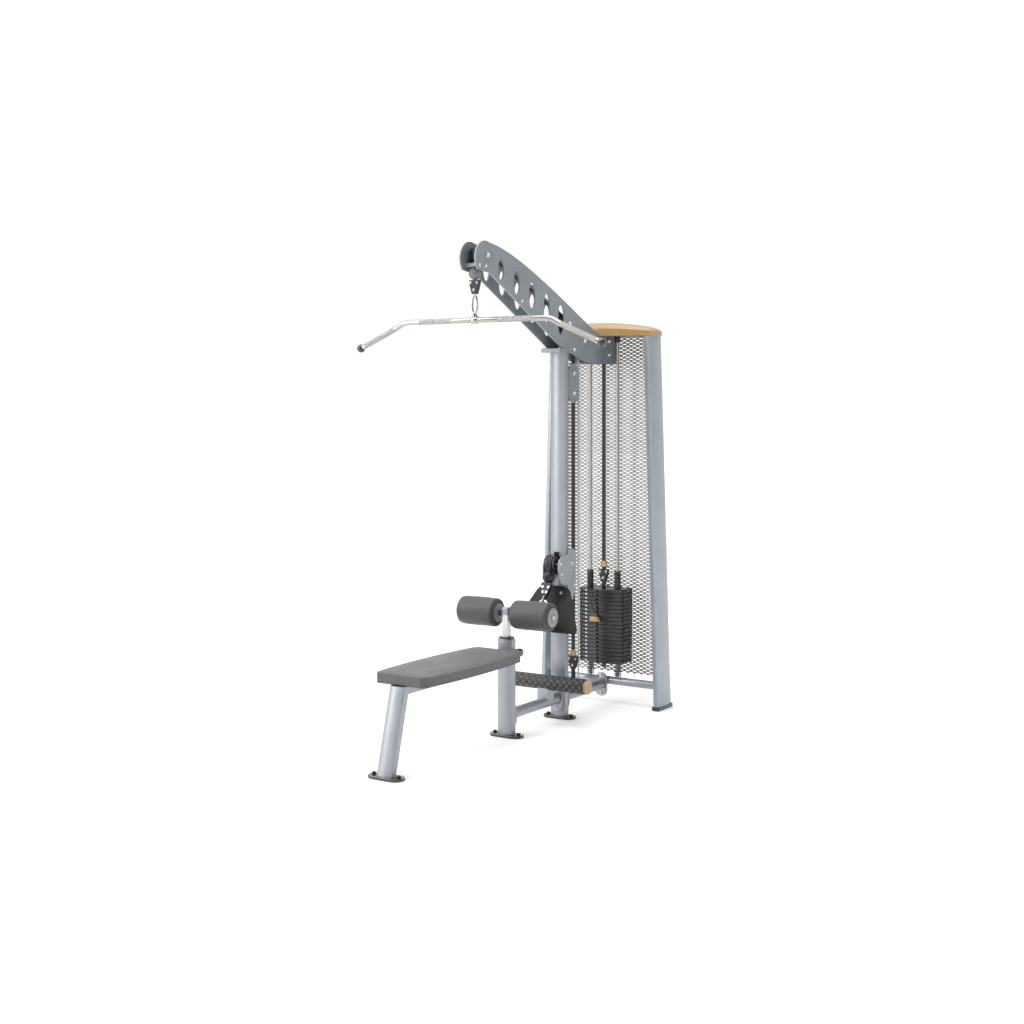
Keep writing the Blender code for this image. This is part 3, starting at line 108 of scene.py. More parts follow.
class Finish:
    """One material: a Principled shader and the nodes that vary it over the surface."""

    def __init__(self, name, colour, roughness, metallic=0.0, **sockets):
        self.material = bpy.data.materials.new(name)
        self.material.use_nodes = True
        self.tree = self.material.node_tree
        self.shader = self.tree.nodes["Principled BSDF"]
        self.shader.inputs["Base Color"].default_value = (*colour, 1.0)
        self.shader.inputs["Roughness"].default_value = roughness
        self.shader.inputs["Metallic"].default_value = metallic
        for socket, value in sockets.items():
            self.shader.inputs[socket.replace("_", " ")].default_value = value
        self.colour = colour
        self.place = self.node("ShaderNodeTexCoord").outputs["Object"]

    def node(self, kind, settings=None, **inputs):
        made = self.tree.nodes.new(kind)
        for key, value in (settings or {}).items():
            setattr(made, key, value)
        for key, value in inputs.items():
            socket = made.inputs[int(key[1:])] if key[0] == "i" and key[1:].isdigit() else made.inputs[key]
            if isinstance(value, bpy.types.NodeSocket):
                self.tree.links.new(value, socket)
            else:
                socket.default_value = value
        return made

    def math(self, operation, a, b=0.0, c=0.0):
        return self.node("ShaderNodeMath", {"operation": operation}, i0=a, i1=b, i2=c).outputs[0]

    def noise(self, scale, detail=3.0):
        return self.node("ShaderNodeTexNoise", Vector=self.place, Scale=scale, Detail=detail).outputs["Fac"]

    def cells(self, scale, feature="F1"):
        made = self.node("ShaderNodeTexVoronoi", {"feature": feature}, Vector=self.place, Scale=scale)
        return made.outputs["Distance"]

    def spread(self, value, low, high, out_low, out_high):
        made = self.node("ShaderNodeMapRange", Value=value)
        for name, number in zip(("From Min", "From Max", "To Min", "To Max"), (low, high, out_low, out_high)):
            made.inputs[name].default_value = number
        return made.outputs[0]

    def tones(self, value, *stops):
        ramp = self.node("ShaderNodeValToRGB", Fac=value)
        points = ramp.color_ramp.elements
        while len(points) < len(stops):
            points.new(0.5)
        for point, (place, colour) in zip(points, stops):
            point.position = place
            point.color = (*colour, 1.0)
        return ramp.outputs[0]

    def tint(self, value, amount, low=0.3, high=0.7):
        """Colour from a little darker to a little lighter as value runs from low to high."""
        dark = [c * (1 - amount) for c in self.colour]
        light = [min(1.0, c * (1 + amount)) for c in self.colour]
        self.tree.links.new(self.tones(value, (low, dark), (high, light)), self.shader.inputs["Base Color"])

    def link(self, value, socket):
        self.tree.links.new(value, self.shader.inputs[socket])

    def bump(self, height, distance, strength=1.0):
        """Add relief on top of what is there already."""
        before = self.shader.inputs["Normal"].links
        made = self.node("ShaderNodeBump", Height=height, Distance=distance, Strength=strength)
        if before:
            self.tree.links.new(before[0].from_socket, made.inputs["Normal"])
        self.tree.links.new(made.outputs[0], self.shader.inputs["Normal"])


def powder_coat(name, colour, roughness, metallic, grain=0.00010):
    """Baked coat: faint cloudiness, fine orange peel and metal flake."""
    made = Finish(name, colour, roughness, metallic, Coat_Weight=0.12, Coat_Roughness=0.25)
    cloud = made.noise(7.0)
    fleck = made.noise(1400.0, 1.0)
    made.tint(made.math("ADD", made.math("MULTIPLY", cloud, 0.55), made.math("MULTIPLY", fleck, 0.45)), 0.10)
    made.link(made.spread(made.noise(30.0, 4.0), 0.3, 0.7, roughness - 0.05, roughness + 0.06), "Roughness")
    made.bump(made.noise(520.0, 2.0), grain)
    return made.material


def moulded(name, colour, roughness, grain=0.00008, amount=0.08, **sockets):
    """Moulded plastic: slight tone drift and a fine eggshell."""
    made = Finish(name, colour, roughness, 0.0, **sockets)
    made.tint(made.noise(14.0, 4.0), amount)
    made.link(made.spread(made.noise(60.0), 0.3, 0.7, roughness - 0.06, roughness + 0.08), "Roughness")
    made.bump(made.noise(700.0, 2.0), grain)
    return made.material


def plated(name, colour, roughness, smudge=0.05):
    """Plated or polished steel with faint smudges and drawing lines."""
    made = Finish(name, colour, roughness, 1.0)
    made.tint(made.noise(9.0, 5.0), 0.06)
    made.link(made.spread(made.noise(26.0, 5.0), 0.35, 0.7, roughness, roughness + smudge), "Roughness")
    made.bump(made.noise(300.0, 2.0), 0.00003)
    return made.material


def weight_coat():
    """Black satin coat on cast plates, a little rubbed."""
    made = Finish("black_satin_plate", (0.020, 0.020, 0.022), 0.34, 0.2, Coat_Weight=0.2, Coat_Roughness=0.3)
    made.tint(made.noise(22.0, 5.0), 0.35)
    made.link(made.spread(made.noise(75.0, 4.0), 0.3, 0.75, 0.22, 0.38), "Roughness")
    return made.material


def vinyl(name, colour):
    """Upholstery vinyl: pebbled grain, fine creases and soft sheen on worn spots."""
    made = Finish(name, colour, 0.5, 0.0, Sheen_Weight=0.12, Sheen_Roughness=0.4)
    wear = made.noise(11.0, 5.0)
    grain = made.cells(620.0, "SMOOTH_F1")
    mixed = made.math("ADD", made.math("MULTIPLY", wear, 0.7), made.math("MULTIPLY", grain, 0.5))
    made.tint(mixed, 0.20, 0.3, 0.85)
    made.link(made.spread(wear, 0.3, 0.7, 0.42, 0.58), "Roughness")
    made.bump(made.noise(38.0, 4.0), 0.0009)
    made.bump(grain, 0.00035)
    return made.material


def belt_rubber():
    """Flat belt: ribs along its length and a dusty matt surface."""
    made = Finish("black_belt", (0.018, 0.018, 0.019), 0.62)
    x = made.node("ShaderNodeSeparateXYZ", Vector=made.place).outputs["X"]
    ribs = made.math("SINE", made.math("MULTIPLY", x, 2 * math.pi / 0.0022))
    made.tint(made.noise(90.0, 4.0), 0.4)
    made.link(made.spread(made.noise(60.0, 4.0), 0.3, 0.7, 0.5, 0.72), "Roughness")
    made.bump(ribs, 0.0002)
    return made.material


def coarse_coat():
    """Black splatter coat of the guard, pebbled enough to sparkle."""
    made = Finish("black_splatter_coat", (0.0055, 0.0055, 0.006), 0.6, 0.0, Specular_IOR_Level=0.32)
    grit = made.noise(330.0, 3.0)
    made.tint(grit, 0.7, 0.35, 0.65)
    made.link(made.spread(grit, 0.35, 0.65, 0.42, 0.7), "Roughness")
    made.bump(grit, 0.0011)
    return made.material


def perforated_sheet():
    """Grey sheet with staggered slotted holes."""
    made = Finish("perforated_sheet", (0.36, 0.355, 0.345), 0.45, 0.20)
    made.tint(made.noise(30.0, 4.0), 0.12)
    made.link(made.spread(made.noise(80.0), 0.3, 0.7, 0.38, 0.55), "Roughness")
    across, up, slot_half, slot_rise = 0.0380, 0.0094, 0.0118, 0.0027
    parts = made.node("ShaderNodeSeparateXYZ", Vector=made.place)
    row = made.math("DIVIDE", parts.outputs["Z"], up)
    odd = made.math("MODULO", made.math("FLOOR", row), 2.0)
    column = made.math("DIVIDE", parts.outputs["X"], across)
    column = made.math("ADD", column, made.math("MULTIPLY", odd, 0.5))
    u = made.math("SUBTRACT", made.math("FRACT", made.math("ADD", column, 100.0)), 0.5)
    v = made.math("SUBTRACT", made.math("FRACT", row), 0.5)
    u = made.math("DIVIDE", made.math("MULTIPLY", u, across), slot_half)
    v = made.math("DIVIDE", made.math("MULTIPLY", v, up), slot_rise)
    far = made.math("ADD", *(made.math("POWER", made.math("ABSOLUTE", way), 3.0) for way in (u, v)))
    made.link(made.math("GREATER_THAN", far, 1.0), "Alpha")
    made.bump(made.spread(far, 0.9, 1.8, 0.0, 1.0), 0.0005)
    return made.material


def around(made, centre, turn=0.0):
    """Distance along a bar that lies in the XZ plane and the angle round it, from its own middle."""
    own = made.node("ShaderNodeMapping", {"vector_type": "TEXTURE"}, Vector=made.place,
                    Location=centre, Rotation=(0.0, turn, 0.0)).outputs[0]
    parts = made.node("ShaderNodeSeparateXYZ", Vector=own)
    angle = made.math("ARCTAN2", parts.outputs["Z"], parts.outputs["Y"])
    return parts.outputs["X"], angle


def crossed(made, along, angle, pitch, starts):
    """Two crossing sets of helical grooves, 0 in a groove and 1 on a point."""
    a = made.math("MULTIPLY", along, 2 * math.pi / pitch)
    b = made.math("MULTIPLY", angle, float(starts))
    one = made.math("ABSOLUTE", made.math("SINE", made.math("MULTIPLY", made.math("ADD", a, b), 0.5)))
    two = made.math("ABSOLUTE", made.math("SINE", made.math("MULTIPLY", made.math("SUBTRACT", a, b), 0.5)))
    return made.math("MULTIPLY", one, two)


def knurled(name, centre, turn=0.0):
    """Chrome with a diamond knurl, its grooves painted dark as shade."""
    made = Finish(name, (0.38, 0.375, 0.37), 0.26, 1.0)
    along, angle = around(made, centre, turn)
    points = crossed(made, along, angle, 0.0026, 30)
    # Base colour dark in the grooves as painted shade, lighter on the points.
    made.link(made.tones(points, (0.05, (0.16, 0.16, 0.16)), (0.5, (0.52, 0.515, 0.51))), "Base Color")
    made.link(made.spread(points, 0.0, 0.8, 0.5, 0.2), "Roughness")
    made.bump(points, 0.0006)
    return made.material


def tread_rubber(centre):
    """Footrest sleeve: black rubber with raised diamonds, and pale lines painted along the grooves as
    highlight.
    """
    made = Finish("diamond_rubber", (0.022, 0.022, 0.022), 0.5)
    along, angle = around(made, centre)
    points = crossed(made, along, angle, 0.034, 6)
    # Pale colour in the grooves is painted highlight; the rubber itself is black throughout.
    made.link(made.tones(points, (0.05, (0.15, 0.145, 0.14)), (0.14, (0.018, 0.018, 0.018))), "Base Color")
    made.link(made.spread(made.noise(90.0, 3.0), 0.3, 0.7, 0.4, 0.62), "Roughness")
    made.bump(made.spread(points, 0.0, 0.3, 0.0, 1.0), 0.0022)
    return made.material


SILVER = powder_coat("silver_powder_coat", (0.325, 0.342, 0.37), 0.42, 0.60)
BLUE_GREY = powder_coat("blue_grey_powder_coat", (0.205, 0.232, 0.252), 0.40, 0.25)
TOWER_COAT = powder_coat("tower_powder_coat", (0.30, 0.335, 0.368), 0.36, 0.45)
GOLD = moulded("gold_plastic", (0.37, 0.225, 0.085), 0.30, 0.00008, 0.03,
               Coat_Weight=0.35, Coat_Roughness=0.2)
BLACK = moulded("black_gloss", (0.016, 0.016, 0.017), 0.22, 0.00012, 0.3,
                Coat_Weight=0.5, Coat_Roughness=0.12)
NYLON = moulded("black_nylon", (0.020, 0.020, 0.022), 0.42, 0.0001, 0.3)
RUBBER = moulded("black_rubber", (0.020, 0.020, 0.020), 0.65, 0.0002, 0.3)
STOP_GREY = moulded("grey_stop_rubber", (0.135, 0.14, 0.15), 0.55, 0.0002, 0.12)
DISC_GREY = moulded("grey_end_disc", (0.20, 0.208, 0.215), 0.45, 0.0001, 0.08)
LABEL = moulded("pale_label", (0.50, 0.49, 0.46), 0.5, 0.00003, 0.06)
CHROME = plated("chrome", (0.34, 0.325, 0.305), 0.11)
ROD = plated("ground_steel_rod", (0.42, 0.42, 0.41), 0.33, 0.05)
ZINC = plated("bright_zinc", (0.50, 0.495, 0.48), 0.26, 0.05)
BOLT_STEEL = plated("bolt_steel", (0.60, 0.61, 0.62), 0.2, 0.1)
DARK_STEEL = plated("dark_steel", (0.048, 0.048, 0.050), 0.42, 0.10)
PLATE_COAT = weight_coat()
VINYL = vinyl("dark_grey_vinyl", (0.078, 0.081, 0.086))
VINYL_SIDE = vinyl("piping_vinyl", (0.17, 0.18, 0.195))
ROLLER_VINYL = vinyl("roller_vinyl", (0.046, 0.049, 0.053))
BELT = belt_rubber()
SPLATTER = coarse_coat()
PANEL = perforated_sheet()
TREAD = tread_rubber(middle("footrest_bar"))


# ------------------------------------------------------------------ workshop

def only(obj):
    """Select this object and nothing else."""
    bpy.ops.object.select_all(action="DESELECT")
    obj.select_set(True)
    bpy.context.view_layer.objects.active = obj
    return obj


def edit(obj):
    only(obj)
    bpy.ops.object.mode_set(mode="EDIT")


def leave():
    bpy.ops.object.mode_set(mode="OBJECT")


def settle():
    """Write the object's place, turn and size into its mesh."""
    bpy.ops.object.transform_apply(location=True, rotation=True, scale=True)


def take_all():
    bpy.ops.mesh.select_all(action="SELECT")


def shift(move):
    bpy.ops.transform.translate(value=move)


def stretch(factors, **settings):
    bpy.ops.transform.resize(value=factors, **settings)


def draw_out(move):
    """Extrude what is selected."""
    bpy.ops.mesh.extrude_region_move(TRANSFORM_OT_translate={"value": move})


def inset(width, each=False):
    """Inset the selected faces, together or each by itself."""
    bpy.ops.mesh.inset(thickness=width, use_individual=each)


def raise_faces(height):
    """Extrude the selected faces along their normals."""
    bpy.ops.mesh.extrude_region_shrink_fatten(TRANSFORM_OT_shrink_fatten={"value": height})


def chamfer(width, segments):
    """Round the selected edges."""
    bpy.ops.mesh.bevel(offset=width, segments=segments, affect="EDGES")


def slice_at(place, normal, cut=False):
    """Cut all faces along a plane; with cut, what lies beyond it goes and the end is closed."""
    take_all()
    bpy.ops.mesh.bisect(plane_co=place, plane_no=normal, use_fill=cut, clear_outer=cut)


def outward(obj):
    """Turn every normal outward."""
    edit(obj)
    take_all()
    bpy.ops.mesh.normals_make_consistent(inside=False)
    leave()


def pick(kind, test):
    """In edit mode, select only the vertices, edges or faces that pass the test."""
    bpy.ops.mesh.select_mode(type="VERT")
    bpy.ops.mesh.select_all(action="DESELECT")
    bpy.ops.mesh.select_mode(type=kind)
    shape = bmesh.from_edit_mesh(bpy.context.object.data)
    for part in {"VERT": shape.verts, "EDGE": shape.edges, "FACE": shape.faces}[kind]:
        if test(part):
            part.select_set(True)
    bmesh.update_edit_mesh(bpy.context.object.data)


def faces_along(axis, side=1):
    """Select the faces that look along an axis: to one side, or both with side 0."""
    def test(face):
        way = getattr(face.normal, axis)
        return (way * side if side else abs(way)) > 0.9
    pick("FACE", test)


def modify(obj, kind, **settings):
    """Add a modifier and apply it."""
    only(obj)
    made = obj.modifiers.new(kind.lower(), kind)
    for key, value in settings.items():
        setattr(made, key, value)
    bpy.ops.object.modifier_apply(modifier=made.name)
    return obj


def soften(obj, width, segments=2, angle=40):
    """Round every edge sharper than the angle."""
    return modify(obj, "BEVEL", width=width, segments=segments, limit_method="ANGLE",
                  angle_limit=math.radians(angle))


def fit(obj, name, finish, body, angle=35.0, replaces=()):
    """Name a finished piece, settle its place in its mesh, and fix it to its body."""
    only(obj)
    settle()
    obj.name = name
    obj.data.name = name
    obj.data.materials.clear()
    obj.data.materials.append(finish)
    bpy.ops.object.shade_smooth_by_angle(angle=math.radians(angle))
    if body:
        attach(obj, body)
    if replaces:
        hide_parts(*replaces)
    return obj


def even(obj):
    """Weigh normals by face area, so broad faces shade flat next to their eased edges."""
    return modify(obj, "WEIGHTED_NORMAL", keep_sharp=True)


def merged(node, name):
    """A copy of a CAD piece in edit mode, with its doubled vertices merged."""
    obj = bpy.data.objects.new(name, CAD[node].data.copy())
    bpy.context.collection.objects.link(obj)
    edit(obj)
    bpy.ops.mesh.select_mode(type="VERT")
    take_all()
    bpy.ops.mesh.remove_doubles(threshold=0.00002)
    return obj


def eased(node, finish, width=0.0015, segments=2, sharp=30.0, smooth=40.0):
    """A copy of a CAD piece with its edges eased, standing in its place."""
    obj = merged(node, node + "_eased")
    bpy.ops.mesh.dissolve_limited(angle_limit=math.radians(1.0))
    leave()
    modify(obj, "BEVEL", width=width, segments=segments, limit_method="ANGLE",
           angle_limit=math.radians(sharp), use_clamp_overlap=True, miter_outer="MITER_ARC")
    return even(fit(obj, node + "_eased", finish, CAD[node]["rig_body"], smooth, (node,)))


def cylinder(radius, depth, place, axis="Z", sides=32):
    turn = {"X": (0.0, math.pi / 2, 0.0), "Y": (math.pi / 2, 0.0, 0.0), "Z": (0.0, 0.0, 0.0)}[axis]
    bpy.ops.object.select_all(action="DESELECT")
    bpy.ops.mesh.primitive_cylinder_add(vertices=sides, radius=radius, depth=depth, location=place,
                                        rotation=turn)
    made = bpy.context.object
    settle()
    return made


def block(size, place):
    bpy.ops.object.select_all(action="DESELECT")
    bpy.ops.mesh.primitive_cube_add(size=1.0, location=place, scale=size)
    made = bpy.context.object
    settle()
    return made


def joined(pieces):
    """Several meshes as one."""
    bpy.ops.object.select_all(action="DESELECT")
    for piece in pieces:
        piece.select_set(True)
    bpy.context.view_layer.objects.active = pieces[0]
    if len(pieces) > 1:
        bpy.ops.object.join()
    return bpy.context.object


def copied(master, matrix):
    """A copy of a modelled piece with its own mesh, set in place by the matrix."""
    made = bpy.data.objects.new(master.name + "_copy", master.data.copy())
    bpy.context.collection.objects.link(made)
    made.data.transform(matrix)
    if matrix.to_3x3().determinant() < 0:
        made.data.flip_normals()
    return made


def facing(place, direction, size=1.0):
    """Matrix that sets a piece modelled along +Z at a place, pointing in a direction."""
    turn = Vector((0, 0, 1)).rotation_difference(Vector(direction)).to_matrix().to_4x4()
    return Matrix.Translation(place) @ turn @ Matrix.Scale(size, 4)


def hex_socket_bolt():
    """Button head bolt of head radius 1 that stands on the floor, with a washer and a hex socket."""
    head = cylinder(1.0, 0.75, (0, 0, 0.55), sides=30)
    edit(head)
    faces_along("z")
    stretch((0.62, 0.62, 1.0))
    inset(0.12)
    draw_out((0, 0, -0.3))
    leave()
    soften(head, 0.16, 3, 30)
    washer = cylinder(1.25, 0.18, (0, 0, 0.09), sides=30)
    soften(washer, 0.05, 1, 30)
    return joined([head, washer])


def hex_bolt():
    """Hexagon head of across-corners radius 1 on a washer."""
    head = cylinder(1.0, 0.8, (0, 0, 0.6), sides=6)
    edit(head)
    faces_along("z")
    inset(0.14)
    shift((0, 0, 0.1))
    leave()
    soften(head, 0.04, 1, 20)
    washer = cylinder(1.35, 0.2, (0, 0, 0.1), sides=30)
    soften(washer, 0.05, 1, 30)
    return joined([head, washer])


BUTTON = hex_socket_bolt()
HEXAGON = hex_bolt()


def bolts(name, size, places, body, master=BUTTON, finish=BOLT_STEEL):
    """One object of the same bolt at several (place, direction)."""
    made = joined([copied(master, facing(place, direction, size)) for place, direction in places])
    return fit(made, name, finish, body, 30.0)


def ribbon(name, path):
    """A flat belt on its edge path in the YZ plane, drawn out point by point."""
    bpy.ops.object.select_all(action="DESELECT")
    bpy.ops.mesh.primitive_plane_add(size=BELT_WIDTH, location=(0, 0, 0))
    made = bpy.context.object
    start = Vector((0.0, *path[0]))
    edit(made)
    pick("VERT", lambda v: v.co.y > 0)
    bpy.ops.mesh.delete(type="VERT")
    take_all()
    shift(start - Vector((0, -BELT_WIDTH / 2, 0)))
    for here, there in zip(path, path[1:]):
        draw_out((0.0, there[0] - here[0], there[1] - here[1]))
    leave()
    modify(made, "SOLIDIFY", thickness=BELT_THICKNESS, offset=0.0, use_even_offset=True)
    outward(made)
    made.name = name
    return made


def belt_run(name, path, body, stands=(), ends=None):
    """One belt run on a body, or, given two (y, z) ends, on no body, with its place written into its mesh."""
    belt = ribbon(name, path)
    fit(belt, name, BELT, None if ends else body, 40.0, stands)
    if ends:
        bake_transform(belt)


def strand(name, y, top, bottom, steps, body, stands=()):
    """An upright belt run between the root and a body."""
    belt_run(name, line((y, top), (y, bottom), steps), body, stands, ((y, top), (y, bottom)))


def arc(centre, radius, start, end, steps=14):
    """Points round a pulley in the YZ plane, in degrees from +Y towards +Z."""
    turns = [math.radians(start + (end - start) * i / steps) for i in range(steps + 1)]
    return [(centre.y + radius * math.cos(t), centre.z + radius * math.sin(t)) for t in turns]


def line(start, end, steps=8):
    return [(start[0] + (end[0] - start[0]) * i / steps, start[1] + (end[1] - start[1]) * i / steps)
            for i in range(steps + 1)]


def wire(name, points, radius, closed=False, sides=4, smooth=True):
    """A round bar or wire through points, as a mesh."""
    data = bpy.data.curves.new(name, "CURVE")
    data.dimensions = "3D"
    data.bevel_depth = radius
    data.bevel_resolution = sides
    data.use_fill_caps = not closed
    spline = data.splines.new("POLY" if not smooth else "BEZIER")
    if smooth:
        spline.bezier_points.add(len(points) - 1)
        for point, place in zip(spline.bezier_points, points):
            point.co = place
            point.handle_left_type = point.handle_right_type = "AUTO"
        spline.resolution_u = 8
    else:
        spline.points.add(len(points) - 1)
        for point, place in zip(spline.points, points):
            point.co = (*place, 1.0)
    spline.use_cyclic_u = closed
    made = bpy.data.objects.new(name, data)
    bpy.context.collection.objects.link(made)
    only(made)
    bpy.ops.object.convert(target="MESH")
    return bpy.context.object


# ------------------------------------------------------------------ frame

def drill(obj, radius, place, axis, depth, sides=24):
    """Cut a round hole."""
    cutter = cylinder(radius, depth, place, axis, sides)
    modify(obj, "BOOLEAN", operation="DIFFERENCE", object=cutter, solver="EXACT")
    bpy.data.objects.remove(cutter)
    return obj


def upright(node, finish, corner, radius):
    """A standing tube with its long outer corners rounded."""
    obj = merged(node, node + "_rounded")
    bpy.ops.mesh.dissolve_limited(angle_limit=math.radians(1.0))
    pick("EDGE", lambda e: all(corner(v) for v in e.verts) and abs(e.verts[0].co.z - e.verts[1].co.z) > 0.02)
    bpy.ops.mesh.bevel(offset=radius, segments=7, affect="EDGES", clamp_overlap=False)
    leave()
    return even(fit(obj, node + "_rounded", finish, CAD[node]["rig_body"], 34.0, (node,)))


def make_frame():
    """Tubes with rounded corners, plates and feet with eased edges."""
    for node in ("front_column", "bench_leg", "bench_post"):
        y = None if node == "bench_leg" else middle(node).y
        upright(node, SILVER, lambda v, y=y: abs(v.co.x) > 0.0395
                and (y is None or abs(abs(v.co.y - y) - 0.016) < 0.002), 0.0060)
    for node in ("tower_column_right", "tower_column_left"):
        upright(node, TOWER_COAT, lambda v: abs(v.co.y - STACK_Y - 0.010) > 0.0720, 0.0065)
    eased("seat_rail", SILVER, 0.0025, 3)
    eased("column_cap", BLUE_GREY, 0.0022, 3)
    for side in ("right", "left"):
        eased(f"boom_plate_{side}", BLUE_GREY, 0.0012, 2, 40.0)
        eased(f"tower_foot_{side}", BLACK, 0.0035, 3)
    lid = eased("tower_lid", GOLD, 0.0070, 4, 24.0, 60.0)
    low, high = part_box("tower_lid")
    edit(lid)
    bpy.ops.mesh.select_mode(type="VERT")
    for i in range(-11, 12):
        slice_at((i * high.x / 11.5, 0, 0), (1, 0, 0))
    leave()
    arch(lid, low.z, high)
    only(lid)
    bpy.ops.mesh.customdata_custom_splitnormals_clear()
    bpy.ops.object.shade_smooth_by_angle(angle=math.radians(50.0))
    even(lid)
    eased("low_pulley_bracket", SILVER, 0.0012, 2, 40.0)
    eased("footrest_bracket", SILVER, 0.0025, 3, 50.0)
    eased("block_cheeks", BLUE_GREY, 0.0010, 2, 40.0)
    places = []
    for node in ("leg_foot", "post_foot", "column_foot"):
        eased(node, BLACK, 0.0030, 3, 40.0)
        low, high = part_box(node)
        for x in (low.x + 0.022, high.x - 0.022):
            places.append(((x, (low.y + high.y) / 2, high.z - 0.0005), (0, 0, 1)))
    bolts("foot_bolts", 0.0085, places, "root", HEXAGON, DARK_STEEL)


def arch(obj, base, high):
    """Lower a lid toward both ends, so that its top is a shallow arch."""
    for vertex in obj.data.vertices:
        vertex.co.z = base + (vertex.co.z - base) * (1.0 - 0.42 * (vertex.co.x / high.x) ** 2)


def flange(name, y, front, half_height=0.060):
    """Oval joint plate across the rail with a bolt above and below."""
    z = middle("floor_rail").z
    plate = cylinder(0.034, 0.007, (0, y, z), "Y", 48)
    edit(plate)
    pick("VERT", lambda v: v.co.z > z + 0.001)
    shift((0, 0, half_height - 0.034))
    pick("VERT", lambda v: v.co.z < z - 0.001)
    shift((0, 0, 0.034 - half_height))
    leave()
    soften(plate, 0.0015)
    drill(plate, 0.0262, (0, y, z), "Y", 0.05, 40)
    fit(plate, name, SILVER, "root", 40.0)
    face = y + front * 0.0035
    places = [((0, face, z + s * (half_height - 0.016)), (0, front, 0)) for s in (-1, 1)]
    bolts(f"{name}_bolts", 0.0075, places, "root")


def make_joints():
    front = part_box("front_column")[0].y
    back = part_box("front_column")[1].y
    flange("column_flange", front - 0.0040, -1)
    flange("column_back_flange", back + 0.0040, 1)
    flange("post_flange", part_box("bench_post")[1].y + 0.0040, 1)
    flange("base_flange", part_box("base_rail")[1].y - 0.0050, -1)
    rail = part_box("tower_cross_rail")
    collars = []
    for x in (rail[0].x + 0.004, rail[1].x - 0.004):
        collar = cylinder(0.0265, 0.007, (x, STACK_Y, (rail[0].z + rail[1].z) / 2), "X", 40)
        soften(collar, 0.002)
        collars.append(drill(collar, 0.0205, (x, STACK_Y, (rail[0].z + rail[1].z) / 2), "X", 0.05))
    fit(joined(collars), "cross_rail_collars", SILVER, "root")
    ledge = block((0.052, 0.090, 0.005), (0, COLUMN_Y + 0.290, 0.1480))
    edit(ledge)
    faces_along("z", -1)
    draw_out((0, 0, -0.028))
    stretch((0.55, 1.0, 1.0))
    leave()
    soften(ledge, 0.0015)
    even(fit(ledge, "stack_ledge", SILVER, "root"))


def make_boom_bolts():
    """Button heads of the axles and of the plates that tie the boom to column and tower."""
    places = [(HEAD.y, HEAD.z), (BOOM_PULLEY.y, BOOM_PULLEY.z), (REAR_PULLEY.y, REAR_PULLEY.z),
              (COLUMN_Y + 0.401, 1.7468), (COLUMN_Y + 0.401, 1.815), (COLUMN_Y + 0.0574, 1.7606)]
    small = [(HEAD.y - 0.064, 2.107), (HEAD.y - 0.016, 2.106), (COLUMN_Y - 0.407, 1.9695)]
    both = [(x, (side, 0, 0)) for side in (1, -1) for x in places]
    bolts("boom_bolts", 0.0105, [((d[0] * BOOM_FACE, p[0], p[1]), d) for p, d in both], "root")
    both = [(x, (side, 0, 0)) for side in (1, -1) for x in small]
    bolts("guide_bolts", 0.0070, [((d[0] * BOOM_FACE, p[0], p[1]), d) for p, d in both], "root")
    low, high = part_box("column_cap")
    corners = [((x, y, high.z - 0.0004), (0, 0, 1)) for x in (low.x + 0.008, high.x - 0.008)
               for y in (low.y + 0.012, high.y - 0.012)]
    bolts("cap_bolts", 0.0055, corners, "root")


def make_lid_trim():
    """Bright lip round the lower edge of the lid."""
    low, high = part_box("tower_lid")
    rim = merged("tower_lid", "lid_lip")
    take_all()
    bpy.ops.mesh.bisect(plane_co=(0, 0, low.z + 0.010), plane_no=(0, 0, 1), clear_outer=True)
    leave()
    arch(rim, low.z, high)
    modify(rim, "SOLIDIFY", thickness=0.0012, offset=1.0)
    fit(rim, "lid_lip", GOLD, "root", 40.0)


# ------------------------------------------------------------------ weights

def crowned_plate(half, front, crown, back, low, high, edge):
    """A plate with a curved front and rounded corners."""
    radius = (half ** 2 + crown ** 2) / (2 * crown)
    plate = cylinder(radius, high - low, (0, STACK_Y - front - crown + radius, (low + high) / 2), "Z", 220)
    cuts = [((half, 0, 0), (1, 0, 0)), ((-half, 0, 0), (-1, 0, 0)), ((0, STACK_Y + back, 0), (0, 1, 0))]
    corner = 0.026
    for side in (1, -1):
        for turn in (12, 28, 44):
            way = Vector((side * math.cos(math.radians(turn)), -math.sin(math.radians(turn)), 0))
            centre = Vector((side * (half - corner), STACK_Y - front + 0.012, 0))
            cuts.append((centre + way * corner, way))
    edit(plate)
    for place, normal in cuts:
        slice_at(place, normal, True)
    leave()
    return soften(plate, edge, 3, 50)


